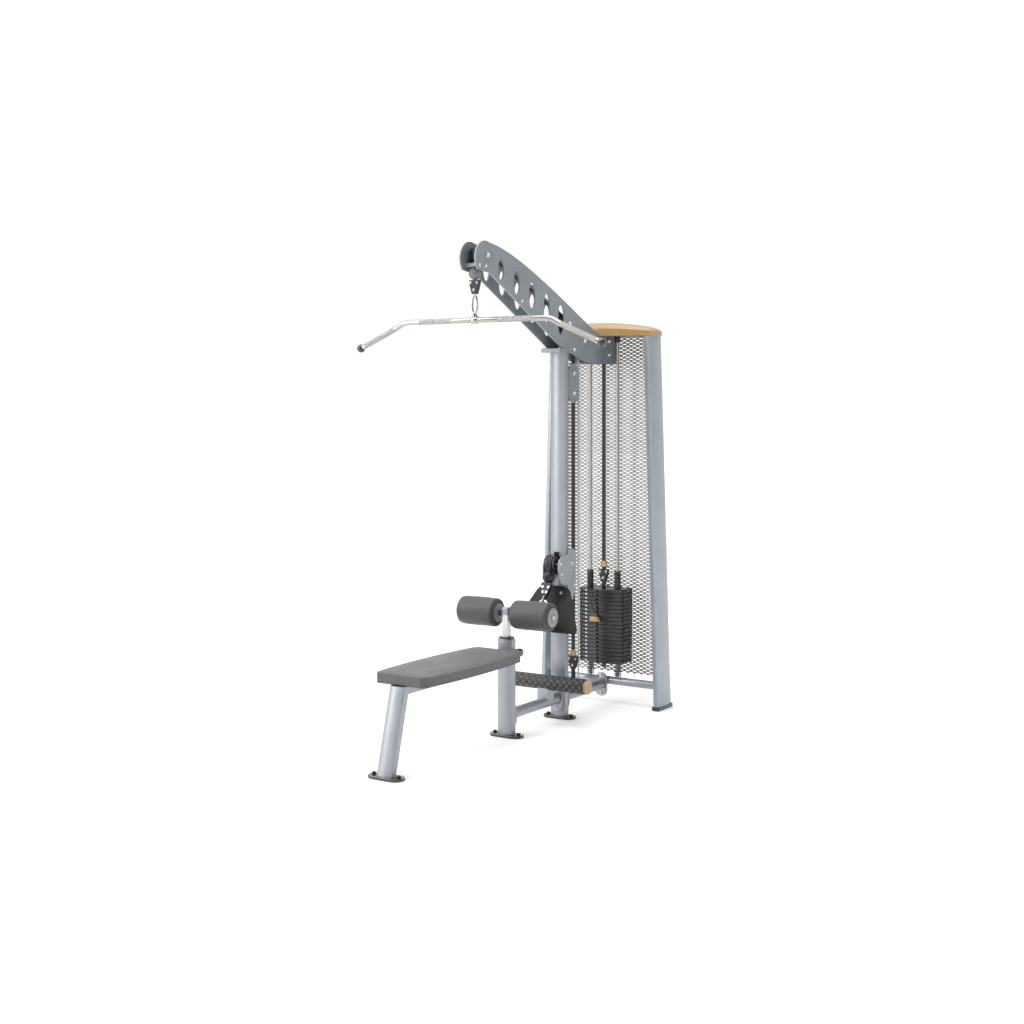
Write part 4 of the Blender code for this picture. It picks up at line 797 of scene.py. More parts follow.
def make_plates():
    """Nineteen weight plates with rod holes, a pin hole each and two blank labels."""
    gap = 0.0006
    master = crowned_plate(PLATE_HALF, PLATE_FRONT, CROWN, 0.070, STACK_BOTTOM + gap,
                           STACK_BOTTOM + PLATE_PITCH - gap, 0.0032)
    rod_x = middle("guide_rod_right").x
    level = STACK_BOTTOM + PLATE_PITCH / 2
    for x in (rod_x, -rod_x):
        drill(master, 0.0107, (x, STACK_Y, level), "Z", 0.1)
    drill(master, 0.0122, (0, STACK_Y, level), "Z", 0.1)
    drill(master, 0.0062, (0, STACK_Y - 0.05, level), "Y", 0.09, 16)
    chip = block((0.014, 0.0012, 0.0078), (0, 0, 0))
    edit(chip)
    pick("EDGE", lambda e: abs(e.verts[0].co.y - e.verts[1].co.y) > 0.001)
    chamfer(0.0016, 3)
    leave()
    spots = []
    for x in (-0.090, -0.070):
        turn = math.atan(2 * CROWN * x / PLATE_HALF ** 2)
        y = STACK_Y - PLATE_FRONT - CROWN * (1 - (x / PLATE_HALF) ** 2) - 0.0001
        spots.append(Matrix.Translation((x, y, level)) @ Matrix.Rotation(turn, 4, "Z"))
    first = {10: "resting_plates", 11: "lifted_plates", 18: "top_plate"}
    for body, rows in (("root", range(11)), ("stack", range(11, 19))):
        for row in rows:
            rise = Matrix.Translation((0, 0, row * PLATE_PITCH))
            plate = copied(master, rise)
            even(fit(plate, f"weight_plate_{row + 1}", PLATE_COAT, body, 40.0))
            if row in first:
                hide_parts(first[row])
        chips = joined([copied(chip, Matrix.Translation((0, 0, row * PLATE_PITCH)) @ spot)
                        for row in rows for spot in spots])
        fit(chips, f"labels_{body}", LABEL, body)
    bpy.data.objects.remove(master)
    bpy.data.objects.remove(chip)


def make_stack_fittings():
    """Sleeves, stem, springs, foot nut and rod ends."""
    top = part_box("resting_plates")[1].z + 8 * PLATE_PITCH
    rod_x = middle("guide_rod_right").x
    sleeves = []
    for x in (rod_x, -rod_x):
        sleeve = cylinder(0.0160, 0.088, (x, STACK_Y, top + 0.044), "Z", 40)
        edit(sleeve)
        pick("EDGE", lambda e: all(v.co.z > top + 0.08 for v in e.verts))
        chamfer(0.0025, 3)
        leave()
        sleeves.append(drill(sleeve, 0.0106, (x, STACK_Y, top), "Z", 0.3))
    fit(joined(sleeves), "guide_sleeves", NYLON, "stack", 40.0)
    height = top - STACK_BOTTOM - 2 * PLATE_PITCH
    stem = cylinder(0.0112, height, (0, STACK_Y, (top + STACK_BOTTOM) / 2), "Z", 28)
    soften(stem, 0.002)
    drill(stem, 0.0060, (0, STACK_Y, middle("selector_pin").z), "Y", 0.05, 16)
    fit(stem, "selector_stem", ZINC, "stack", 40.0)
    rail_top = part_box("tower_cross_rail")[1].z
    for side, x in (("right", rod_x), ("left", -rod_x)):
        bpy.ops.object.select_all(action="DESELECT")
        bpy.ops.mesh.primitive_circle_add(vertices=10, radius=0.0021, location=(0.0175, 0, 0),
                                          rotation=(math.pi / 2, 0, 0))
        coil = bpy.context.object
        settle()
        turns = 7
        height = STACK_BOTTOM - rail_top - 0.006
        modify(coil, "SCREW", axis="Z", angle=2 * math.pi, screw_offset=height / turns, iterations=turns,
               steps=20, render_steps=20, use_merge_vertices=True)
        edit(coil)
        pick("EDGE", lambda e: e.is_boundary)
        bpy.ops.mesh.edge_face_add()
        take_all()
        bpy.ops.mesh.normals_make_consistent(inside=False)
        leave()
        coil.location = (x, STACK_Y, rail_top + 0.003)
        fit(coil, f"buffer_spring_{side}", BLACK, "root", 50.0, (f"stack_bumper_{side}",))
    foot = cylinder(0.012, 0.026, (0, STACK_Y, STACK_BOTTOM - 0.0135), "Z", 6)
    soften(foot, 0.0015, 2, 30)
    fit(foot, "stack_foot_nut", BLACK, "root", 30.0)
    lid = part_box("tower_lid")[0].z
    ends = []
    for x in (rod_x, -rod_x):
        end = cylinder(0.0145, 0.030, (x, STACK_Y, lid - 0.016), "Z", 32)
        soften(end, 0.002)
        ends.append(drill(end, 0.0097, (x, STACK_Y, lid), "Z", 0.2))
    fit(joined(ends), "rod_end_caps", NYLON, "root", 40.0)


def make_selector():
    """Gold pin with a hooked grip, and the strap that keeps it with the stack."""
    low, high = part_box("selector_pin")
    z = (low.z + high.z) / 2
    shank = cylinder(0.0050, high.y - low.y - 0.016, (0, (low.y + high.y) / 2 + 0.008, z), "Y", 24)
    edit(shank)
    faces_along("y")
    draw_out((0, 0.003, 0))
    stretch((0.4, 1.0, 0.4))
    leave()
    fit(shank, "pin_shank", ZINC, "selector", 40.0)
    grip = block((0.030, 0.020, 0.022), (-0.004, low.y + 0.011, z))
    edit(grip)
    faces_along("x", -1)
    draw_out((-0.010, 0.001, 0.002))
    stretch((1.0, 0.8, 1.15))
    faces_along("x")
    draw_out((0.009, 0.0, -0.004))
    stretch((1.0, 0.85, 0.62))
    draw_out((0.006, 0.0, -0.006))
    stretch((1.0, 0.8, 0.6))
    leave()
    soften(grip, 0.0022, 3, 25)
    fit(grip, "pin_grip", GOLD, "selector", 40.0, ("selector_pin",))
    ring = wire("pin_ring", [(0.007 * math.cos(t), low.y + 0.010, z + 0.016 + 0.007 * math.sin(t))
                             for t in (i * math.pi / 6 for i in range(12))], 0.0013, closed=True)
    fit(ring, "pin_ring", CHROME, "selector", 60.0)
    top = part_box("resting_plates")[1].z + 8 * PLATE_PITCH
    start = Vector((-0.068, STACK_Y - 0.019, top + 0.076))
    end = Vector((0.0, low.y + 0.010, z + 0.025))
    points = []
    over = Vector((-0.060, STACK_Y - 0.068, top + 0.072))
    down = Vector((-0.048, STACK_Y - 0.094, top - 0.020))
    for t in (i / 16 for i in range(17)):
        back = 1 - t
        points.append(back ** 3 * start + 3 * back ** 2 * t * over + 3 * back * t ** 2 * down + t ** 3 * end)
    strap = wire("selector_strap", points, 0.0034, sides=4, smooth=False)
    fit(strap, "selector_strap", RUBBER, None, 60.0)
    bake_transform(strap)
    clip = cylinder(0.0075, 0.012, start + Vector((0, 0.002, 0)), "Y", 20)
    soften(clip, 0.0015)
    fit(clip, "strap_clip", BLACK, "stack")


# ------------------------------------------------------------------ pulleys and belts

def make_pulleys():
    """Eased pulleys with a bright hub on each side."""
    for node in ("head_pulley", "boom_pulley", "rear_pulley", "tower_pulley", "low_pulley", "redirect_pulley",
                 "block_pulley_upper", "block_pulley_lower"):
        eased(node, NYLON, 0.0007, 2, 40.0)
        at = middle(node)
        hub = cylinder(0.0135, 0.031, at, "X", 32)
        edit(hub)
        faces_along("x", 0)
        inset(0.004, True)
        raise_faces(0.002)
        leave()
        drill(hub, 0.0062, at, "X", 0.1)
        fit(hub, node + "_hub", ZINC, CAD[node]["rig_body"], 40.0)
    drums = [(HEAD, 0.0335, 0.0155, 0.0355), (LOW_PULLEY, 0.0330, 0.0155, 0.0235)]
    for number, (at, radius, inner, outer) in enumerate(drums):
        sides = []
        for side in (-1, 1):
            drum = cylinder(radius, outer - inner, at + Vector((side * (inner + outer) / 2, 0, 0)), "X", 56)
            soften(drum, 0.0025, 3)
            sides.append(drum)
        even(fit(joined(sides), f"side_drum_{number}", BLACK, "root"))
    points = [((side * 0.0260, BLOCK.y, BLOCK.z + step * BLOCK_PULLEY_RISE), (side, 0, 0))
              for side in (1, -1) for step in (1, -1)]
    bolts("block_bolts", 0.0105, points, "block")
    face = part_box("low_pulley_bracket")[1].x
    spots = [(LOW_PULLEY.y, LOW_PULLEY.z), (LOW_PULLEY.y + 0.010, LOW_PULLEY.z - 0.050),
             (COLUMN_Y + 0.035, 0.7365), (COLUMN_Y + 0.058, 0.630)]
    places = [((s * face, y, z), (s, 0, 0)) for s in (1, -1) for y, z in spots]
    bolts("bracket_bolts", 0.0085, places, "root")


def make_belts():
    """The two belts as runs that stay, wrap a pulley or stretch between two bodies."""
    over = math.degrees(math.atan2(BOOM_PULLEY.z - HEAD.z, BOOM_PULLEY.y - HEAD.y)) + 90.0
    radius = BELT_RADIUS
    head = arc(HEAD, radius, 180.0, over)
    boom = arc(BOOM_PULLEY, radius, over, 0.0)
    belt_run("upper_belt_front", head + line(head[-1], boom[0], 12)[1:] + boom[1:], "root", ("boom_belt",))
    strand("lat_strand", head[0][0], HEAD.z, LAT_STOP.z + 0.0283, 6, "bar_hanger", ("lat_belt",))

    upper = Vector((0, BLOCK.y, BLOCK.z + BLOCK_PULLEY_RISE))
    lower = Vector((0, BLOCK.y, BLOCK.z - BLOCK_PULLEY_RISE))
    strand("block_strand_front", BLOCK.y - radius, BOOM_PULLEY.z, upper.z, 12, "block")
    strand("block_strand_rear", BLOCK.y + radius, REAR_PULLEY.z, upper.z, 12, "block")
    strand("low_strand_front", BLOCK.y - radius, REDIRECT.z, lower.z, 12, "block")
    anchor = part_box("anchor_belt")[0].z
    strand("low_strand_rear", BLOCK.y + radius, anchor, lower.z, 12, "block", ("anchor_belt",))
    belt_run("upper_block_wrap", arc(upper, radius, 180.0, 360.0, 20), "block")
    belt_run("lower_block_wrap", arc(lower, radius, 180.0, 0.0, 20), "block")

    lean = math.degrees(math.atan2(TOWER_PULLEY.z - REAR_PULLEY.z, TOWER_PULLEY.y - REAR_PULLEY.y)) + 90.0
    rear = arc(REAR_PULLEY, radius, 180.0, lean)
    tower = arc(TOWER_PULLEY, radius, lean, 0.0)
    belt_run("upper_belt_rear", rear + line(rear[-1], tower[0], 8)[1:] + tower[1:], "root")
    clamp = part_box("stack_clevis")[1].z
    strand("stack_strand", tower[-1][0], TOWER_PULLEY.z, clamp, 24, "stack", ("stack_belt",))

    small = 0.0285
    drop = math.degrees(math.asin((radius + small) / (REDIRECT - LOW_PULLEY).length))
    low = arc(LOW_PULLEY, radius, 180.0, 90.0 - drop)
    back = arc(REDIRECT, small, 270.0 - drop, 360.0)
    belt_run("low_belt_wrap", low + line(low[-1], back[0], 6)[1:] + back[1:], "root")
    strand("row_strand", low[0][0], LOW_PULLEY.z, LOW_PULLEY.z - 0.058 + 0.0286, 5, "row_hanger")


def clamp_dress(name, node, body):
    """Cross bolts of a belt clamp."""
    low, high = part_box(node)
    y = (low.y + high.y) / 2
    places = []
    for x in (-0.017, 0.017):
        for side in (-1, 1):
            places.append(((x, y + side * 0.0100, high.z - 0.012), (0, side, 0)))
    places += [((0, y + side * 0.0100, high.z - 0.043), (0, side, 0)) for side in (-1, 1)]
    bolts(name, 0.0050, places, body)


def belt_clip(name, y, low, high, body):
    """Gold collar that holds the belt's folded end."""
    clip = block((0.030, 0.015, high - low), (0, y, (low + high) / 2))
    edit(clip)
    faces_along("y", -1)
    inset(0.0045)
    shift((0, 0.0015, 0))
    leave()
    soften(clip, 0.0022, 3, 30)
    fit(clip, name, GOLD, body, 40.0)


def make_clamps():
    for node, body in (("stack_clevis", "stack"), ("lat_clevis", "bar_hanger"), ("belt_anchor", "root")):
        eased(node, DARK_STEEL, 0.0018, 3, 40.0)
        clamp_dress(f"{node}_bolts", node, body)
    eased("row_clevis", DARK_STEEL, 0.0012, 2, 50.0)
    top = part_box("stack_clevis")[1].z
    belt_clip("stack_belt_clip", STACK_Y, top + 0.013, top + 0.042, "stack")
    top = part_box("belt_anchor")[1].z
    belt_clip("anchor_belt_clip", BLOCK.y + BELT_RADIUS, top + 0.002, top + 0.029, "root")
    ball = cylinder(0.0075, 0.011, (0, STACK_Y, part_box("stack_clevis")[0].z + 0.0075), "Z", 28)
    soften(ball, 0.003, 3)
    drill(ball, 0.0073, (0, STACK_Y, 0.6), "Z", 1.0)
    fit(ball, "stack_eye_nut", ZINC, "stack", 40.0)


# ------------------------------------------------------------------ handles

def bar_bend(x):
    """Height of the lat bar's axis below its middle, at a distance from the middle."""
    if x < BEND_START:
        return 0.0
    if x < BEND_END:
        return BEND_DROP * ((x - BEND_START) / (BEND_END - BEND_START)) ** 2
    return BEND_DROP + (x - BEND_END) * (BAR_DROP - BEND_DROP) / (BAR_HALF - BEND_END)


def make_lat_bar():
    """Chromed bar with soft bends, knurled grips, black ball ends and a swivel hub."""
    y = LAT_STOP.y
    level = BAR_LEVEL
    half = [(x, y, level - bar_bend(x)) for x in (i * BAR_HALF / 60 for i in range(61))]
    points = [(-p[0], p[1], p[2]) for p in reversed(half[1:])] + half
    bar = wire("lat_bar_tube", points, 0.0125, sides=8, smooth=False)
    fit(bar, "lat_bar_tube", CHROME, "bar", 60.0, ("lat_bar",))
    for side in (1, -1):
        name = "right" if side > 0 else "left"
        for place, reach, knurl in (("inner", (0.120, 0.121, 0.299, 0.300), INNER_KNURL),
                                    ("outer", (0.440, 0.441, 0.609, 0.610), OUTER_KNURL[side])):
            spots = [(side * x, y, level - bar_bend(x)) for x in reach]
            grip = wire(f"{place}_grip_{name}", spots, 0.0128, sides=8, smooth=False)
            fit(grip, f"{place}_grip_{name}", knurl, "bar", 60.0)
        end = Vector((side * BAR_HALF, y, level - BAR_DROP))
        bpy.ops.object.select_all(action="DESELECT")
        bpy.ops.mesh.primitive_uv_sphere_add(segments=40, ring_count=24, radius=0.0195, location=end)
        ball = bpy.context.object
        edit(ball)
        along = Vector((side * math.cos(BAR_SLOPE), 0, -math.sin(BAR_SLOPE)))
        slice_at(end - along * 0.0155, -along, True)
        leave()
        fit(ball, f"bar_ball_{name}", BLACK, "bar", 50.0)
    hub = cylinder(0.0165, 0.030, (0, y, level), "X", 36)
    edit(hub)
    faces_along("x", 0)
    inset(0.003, True)
    raise_faces(0.004)
    leave()
    soften(hub, 0.0012, 2, 30)
    neck = cylinder(0.0105, 0.014, (0, y, level + 0.0195), "Z", 28)
    edit(neck)
    faces_along("z")
    inset(0.003)
    leave()
    fit(joined([hub, neck]), "bar_swivel_hub", CHROME, "bar", 40.0)


def make_snap_link():
    """Pear-shaped snap hook with a gate."""
    low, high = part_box("snap_link")
    y = (low.y + high.y) / 2
    mid = (low.z + high.z) / 2
    reach = (high.z - low.z) / 2 - 0.0045
    points = []
    for i in range(32):
        turn = 2 * math.pi * i / 32
        width = 0.0125 - 0.0025 * math.sin(turn)
        rise = math.copysign(abs(math.sin(turn)) ** 0.8, math.sin(turn))
        points.append((width * math.cos(turn), y, mid + reach * rise))
    hook = wire("snap_hook", points, 0.0042, closed=True, sides=5, smooth=False)
    fit(hook, "snap_hook", CHROME, "link", 60.0, ("snap_link",))
    gate = cylinder(0.0052, 0.030, (0.0112, y, mid + 0.002), "Z", 24)
    edit(gate)
    pick("EDGE", lambda e: abs(e.verts[0].co.z - e.verts[1].co.z) < 1e-5)
    chamfer(0.0012, 2)
    leave()
    fit(gate, "snap_gate", ZINC, "link", 40.0)


def make_row_handle():
    """Stirrup handle with a rubber grip, on its shackle."""
    lean = math.radians(21.0)
    pivot = Vector((0, LOW_PULLEY.y - BELT_RADIUS, 0.682))

    def at(x, z):
        return Vector((x, pivot.y + z * math.sin(lean), pivot.z + z * math.cos(lean)))
    apex, half, drop = -0.115, 0.085, 0.100
    side = [(0.0, apex + 0.002), (0.010, apex - 0.001), (0.018, apex - 0.008)]
    side += [(0.018 + (half - 0.018) * t, apex - 0.008 - (drop - 0.022) * t) for t in (0.33, 0.66, 1.0)]
    side += [(half + 0.001, apex - drop + 0.007), (half, apex - drop)]
    points = [at(-x, z) for x, z in reversed(side[1:])] + [at(x, z) for x, z in side]
    frame_bar = wire("handle_stirrup", points, 0.0080, sides=6, smooth=False)
    ends = []
    for x in (-half, half):
        end = cylinder(0.0125, 0.014, at(x, apex - drop), "X", 30)
        soften(end, 0.0025, 3)
        ends.append(end)
    fit(joined([frame_bar, *ends]), "handle_stirrup", CHROME, "handle", 50.0, ("row_handle",))
    grip = cylinder(0.0145, 0.150, at(0, apex - drop), "X", 36)
    edit(grip)
    rib = 0.0085
    for i in range(-8, 9):
        slice_at((i * rib, 0, 0), (1, 0, 0))
    pick("VERT", lambda v: abs(v.co.x) < 0.07 and round(v.co.x / rib) % 2 == 0)
    centre = at(0, apex - drop)
    stretch((1.0, 0.92, 0.92), center_override=tuple(centre))
    leave()
    soften(grip, 0.001)
    fit(grip, "handle_grip", RUBBER, "handle", 50.0)
    ring = []
    for i in range(28):
        turn = 2 * math.pi * i / 28
        here = at(0, apex + 0.004 + 0.019 * math.sin(turn))
        here.y += 0.0135 * math.cos(turn)
        ring.append(here)
    shackle = wire("handle_shackle", ring, 0.0038, closed=True, sides=5, smooth=False)
    fit(shackle, "handle_shackle", CHROME, "row_hanger", 60.0)
    places = []
    for step, across in ((-0.050, 0.016), (-0.073, 0.010)):
        centre = at(0, step)
        for s in (-1, 1):
            place = centre + Vector((0, s * 0.010 * math.cos(lean), -s * 0.010 * math.sin(lean)))
            direction = (0, s * math.cos(lean), -s * math.sin(lean))
            places += [(place + Vector((x, 0, 0)), direction) for x in (-across, across)]
    bolts("row_clamp_bolts", 0.0048, places, "row_hanger")


# ------------------------------------------------------------------ foot parts

def make_guard():
    """Sloping guard with rounded corners and splatter coat, and its bolts."""
    corners = [(0.082, COLUMN_Y - 0.050, 0.634), (-0.082, COLUMN_Y - 0.050, 0.634),
               (-0.185, COLUMN_Y - 0.150, 0.430), (0.185, COLUMN_Y - 0.150, 0.430)]
    bpy.ops.object.select_all(action="DESELECT")
    bpy.ops.mesh.primitive_plane_add(size=2.0)
    sheet = bpy.context.object
    edit(sheet)
    goals = {(1, 1): corners[0], (-1, 1): corners[1], (-1, -1): corners[2], (1, -1): corners[3]}
    for key, goal in goals.items():
        pick("VERT", lambda v, key=key: (v.co - Vector((*key, 0.0))).length < 1e-4)
        shift(Vector(goal) - Vector((*key, 0.0)))
    bpy.ops.mesh.select_mode(type="VERT")
    take_all()
    bpy.ops.mesh.bevel(offset=0.030, segments=8, affect="VERTICES")
    leave()
    modify(sheet, "SOLIDIFY", thickness=0.0050, offset=0.0)
    outward(sheet)
    sheet.location.y += 0.0022
    soften(sheet, 0.0016)
    fit(sheet, "guard_sheet", SPLATTER, "root", 40.0, ("shin_guard",))
    fall = math.atan2(0.100, 0.204)
    out = Vector((0, -math.cos(fall), math.sin(fall)))

    def on(x, z):
        y = COLUMN_Y - 0.050 - (0.634 - z) * 0.100 / 0.204
        return Vector((x, y, z)) + out * 0.0035
    bolts("guard_bolts", 0.0065, [(on(x, z), out) for x, z in ((-0.045, 0.605), (0.045, 0.605))], "root")


def make_footrest():
    """Diamond rubber sleeve with gold end caps on its bracket."""
    low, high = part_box("footrest_bar")
    centre = (low + high) / 2
    sleeve = cylinder(0.0350, 0.446, centre, "X", 72)
    edit(sleeve)
    faces_along("x", 0)
    inset(0.003, True)
    leave()
    soften(sleeve, 0.0015)
    fit(sleeve, "footrest_sleeve", TREAD, "root", 40.0, ("footrest_bar",))
    caps = []
    for side in (-1, 1):
        cap = cylinder(0.0330, 0.012, centre + Vector((side * 0.229, 0, 0)), "X", 64)
        edit(cap)
        faces_along("x", side)
        inset(0.005)
        shift((-side * 0.0015, 0, 0))
        inset(0.012)
        inset(0.0025)
        draw_out((side * 0.001, 0, 0))
        leave()
        soften(cap, 0.0010, 2, 30)
        caps.append(cap)
    fit(joined(caps), "footrest_caps", GOLD, "root", 40.0)


# ------------------------------------------------------------------ bench

def make_post_fittings():
    """Collar, pull knob and the head of the square bar."""
    eased("thigh_bar", ZINC, 0.0020, 3, 40.0)
    low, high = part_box("thigh_bar")
    y = (low.y + high.y) / 2
    head = block((0.0325, 0.0325, 0.032), (0, y, high.z - 0.015))
    edit(head)
    faces_along("z")
    inset(0.004)
    shift((0, 0, 0.0015))
    leave()
    soften(head, 0.0022, 3, 30)
    drill(head, 0.0128, (0, y, middle("roller_axle").z), "X", 0.1, 32)
    fit(head, "thigh_bar_head", SILVER, "thigh_pad", 40.0)
    # Black discs in the bar's adjustment holes: painted shade of the hollow inside, not cut holes.
    holes = []
    for i in range(5):
        hole = cylinder(0.0052, 0.0008, (0.0150, y, 0.535 - 0.027 * i), "X", 24)
        edit(hole)
        faces_along("x")
        inset(0.0012)
        shift((-0.0006, 0, 0))
        leave()
        holes.append(hole)
    fit(joined(holes), "thigh_bar_hole_shade", BLACK, "thigh_pad", 40.0)
    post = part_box("bench_post")
    collar = block((0.070, 0.042, 0.012), (0, y, post[1].z + 0.0045))
    edit(collar)
    pick("EDGE", lambda e: abs(e.verts[0].co.z - e.verts[1].co.z) > 0.005)
    chamfer(0.016, 6)
    leave()
    cutter = block((0.0318, 0.0318, 0.1), (0, y, post[1].z))
    modify(collar, "BOOLEAN", operation="DIFFERENCE", object=cutter, solver="EXACT")
    bpy.data.objects.remove(cutter)
    soften(collar, 0.0015)
    fit(collar, "post_collar", BLACK, "root", 40.0)
    eased("height_pin", BLACK, 0.0016, 3, 24.0, 50.0)
    face = 0.040
    boss = cylinder(0.0130, 0.008, (face + 0.003, y, middle("height_pin").z), "X", 30)
    soften(boss, 0.0015)
    drill(boss, 0.0072, (face, y, middle("height_pin").z), "X", 0.1)
    fit(boss, "pin_boss", ZINC, "root", 40.0)


def seat_outline(along):
    """Share of the full width at a place along the seat: bowed sides and rounded corners."""
    corner = max(0.0, abs(along) - 0.92) / 0.08
    return (1.0 - 0.155 * along ** 2) * (1.0 - 0.10 * (1.0 - math.sqrt(max(0.0, 1.0 - corner ** 2)))), corner


def make_seat():
    """Seat pad: flat board-built cushion with a crowned top, a tucked side and a piped upper edge."""
    low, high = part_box("seat_pad")
    length, width, thick = high.y - low.y, high.x - low.x, high.z - low.z
    mid = (low + high) / 2
    bpy.ops.object.select_all(action="DESELECT")
    bpy.ops.mesh.primitive_grid_add(x_subdivisions=28, y_subdivisions=72, size=1.0, location=(0, 0, 0))
    pad = bpy.context.object
    edit(pad)
    take_all()
    stretch((width, length, 1.0))
    shift((mid.x, mid.y, low.z))
    draw_out((0, 0, thick))
    for share in (0.12, 0.3, 0.5, 0.7, 0.86, 0.95):
        slice_at((0, 0, low.z + thick * share), (0, 0, 1))
    leave()
    outward(pad)
    for vertex in pad.data.vertices:
        along = (vertex.co.y - mid.y) / (length / 2)
        rise = (vertex.co.z - low.z) / thick
        u = vertex.co.x / (width / 2)
        outline, corner = seat_outline(along)
        vertex.co.x = u * outline * width / 2
        edge = max(abs(u), abs(along))
        if rise > 0.99:
            soft = min(1.0, (1.0 - max(abs(u) ** 6, abs(along) ** 30)))
            vertex.co.z = high.z - 0.0052 * (1 - soft) + 0.0018 * (1 - u * u) * (1 - along ** 4)
            vertex.co.z += 0.0004 * math.sin(vertex.co.y * 31.0 + 2.0 * math.sin(vertex.co.x * 17.0))
        if abs(u) > 0.99 or abs(along) > 0.99:
            bulge = math.sin(math.pi * min(1.0, rise * 1.05)) * 0.0020 - 0.0060 * max(0.0, 0.18 - rise) / 0.18
            wave = math.sin(vertex.co.y * 250.0 + vertex.co.x * 210.0)
            pleat = 0.0026 * wave * math.sin(math.pi * rise) * (1 - rise)
            push = (bulge + pleat) * (1 - corner) - (0.0025 if rise > 0.99 else 0.0)
            if abs(u) > 0.99:
                vertex.co.x += math.copysign(push, u)
            if abs(along) > 0.99:
                vertex.co.y += math.copysign(push, along)
    modify(pad, "SUBSURF", levels=1, render_levels=1)
    fit(pad, "seat_cushion", VINYL, "root", 60.0, ("seat_pad",))
    edge = []
    for i in range(160):
        turn = 2 * math.pi * i / 160
        u = max(-1.0, min(1.0, math.cos(turn) * 1.9))
        along = max(-1.0, min(1.0, math.sin(turn) * 1.06))
        x = u * seat_outline(along)[0] * (width / 2 - 0.0016)
        edge.append((x, mid.y + along * (length / 2 - 0.0028), high.z - 0.0066))
    piping = wire("seat_piping", edge, 0.0027, closed=True, sides=3, smooth=False)
    fit(piping, "seat_piping", VINYL_SIDE, "root", 60.0)
    board = block((width * 0.72, length - 0.03, 0.0025), (0, mid.y, low.z - 0.0009))
    soften(board, 0.0008, 2, 30)
    fit(board, "seat_board", BLACK, "root", 40.0)


def make_rollers():
    """Foam rollers in gathered vinyl with a grey disc and a cap nut at each end, and a black ring round each
    disc as painted shade of the recess.
    """
    for side, name in ((1, "right"), (-1, "left")):
        node = f"thigh_roller_{name}"
        low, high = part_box(node)
        centre = (low + high) / 2
        radius, half = (high.z - low.z) / 2, (high.x - low.x) / 2
        roll = cylinder(radius, 2 * half, centre, "X", 96)
        edit(roll)
        for i in range(-9, 10):
            slice_at((centre.x + i * half / 9.6, 0, 0), (1, 0, 0))
        for _ in range(4):
            pick("FACE", lambda f: len(f.verts) > 40)
            inset(0.006, True)
        leave()
        for vertex in roll.data.vertices:
            arm = Vector((0, vertex.co.y - centre.y, vertex.co.z - centre.z))
            out = arm.length
            turn = math.atan2(arm.z, arm.y)
            along = (vertex.co.x - centre.x) / half
            if out < 1e-5:
                continue
            arm.normalize()
            if abs(along) > 0.999:
                share = out / radius
                pleat = math.sin(turn * 24) * 0.0011 * max(0.0, min(1.0, (share - 0.55) * 5))
                sink = 0.0005 + 0.012 * max(0.0, share - 0.80) / 0.20
                vertex.co.x -= math.copysign(sink * (1.0 if share > 0.8 else 0.3) - pleat, along)
                vertex.co += arm * (-0.0045 if share > 0.99 else 0.0)
            else:
                swell = 0.0012 * (1 - along ** 2) - 0.0030 * max(0.0, abs(along) - 0.85) / 0.15
                crease = 0.0005 * math.sin(turn * 5 + along * 4.0)
                crease += 0.0004 * math.sin(turn * 9 - along * 11.0 + side)
                gather = 0.0008 * math.sin(turn * 24) * max(0.0, abs(along) - 0.8) / 0.2
                vertex.co += arm * (swell + crease + gather - 0.0012)
        modify(roll, "SUBSURF", levels=1, render_levels=1)
        drill(roll, 0.0130, centre, "X", 0.4, 40)
        fit(roll, f"roller_foam_{name}", ROLLER_VINYL, f"roller_{name}", 60.0, (node,))
        discs, recess_shade_rings = [], []
        for end in (-1, 1):
            disc = cylinder(0.0440, 0.0060, (centre.x + end * (half - 0.0012), centre.y, centre.z), "X", 56)
            edit(disc)
            faces_along("x", end)
            inset(0.004)
            shift((end * 0.0012, 0, 0))
            inset(0.020)
            shift((-end * 0.0010, 0, 0))
            leave()
            soften(disc, 0.0008, 2, 25)
            # Black ring at the disc's edge: painted shade of the recess between vinyl and disc, not a seam.
            circle = [(centre.x + end * (half - 0.0005), centre.y + RECESS_SHADE_RADIUS * math.cos(t),
                       centre.z + RECESS_SHADE_RADIUS * math.sin(t)) for t in (math.pi * i / 24 for i in range(48))]
            recess_shade_ring = wire("recess_shade_ring", circle, 0.0026, closed=True, sides=2, smooth=False)
            recess_shade_rings.append(recess_shade_ring)
            discs.append(drill(disc, 0.0130, (centre.x, centre.y, centre.z), "X", 0.4, 40))
        fit(joined(discs), f"roller_discs_{name}", DISC_GREY, f"roller_{name}", 40.0)
        fit(joined(recess_shade_rings), f"roller_hems_{name}", RUBBER, f"roller_{name}", 60.0)
        nut = cylinder(0.0100, 0.007, (centre.x + side * (half + 0.0038), centre.y, centre.z), "X", 28)
        edit(nut)
        faces_along("x", side)
        inset(0.003)
        shift((side * 0.0015, 0, 0))
        leave()
        soften(nut, 0.0012, 2, 25)
        fit(nut, f"axle_cap_{name}", LABEL, "thigh_pad", 40.0)


INNER_KNURL = knurled("straight_knurl", (0.0, LAT_STOP.y, BAR_LEVEL))
OUTER_KNURL = {}
for hand in (1, -1):
    at = (hand * 0.525, LAT_STOP.y, BAR_LEVEL - bar_bend(0.525))
    OUTER_KNURL[hand] = knurled("sloped_knurl", at, hand * BAR_SLOPE)

make_frame()
make_joints()
make_boom_bolts()
make_lid_trim()
make_plates()
make_stack_fittings()
make_selector()
make_pulleys()
make_belts()
make_clamps()
make_lat_bar()
make_snap_link()
make_row_handle()
make_guard()
make_footrest()
make_post_fittings()
make_seat()
make_rollers()


# ------------------------------------------------------------------ stage, lights and camera

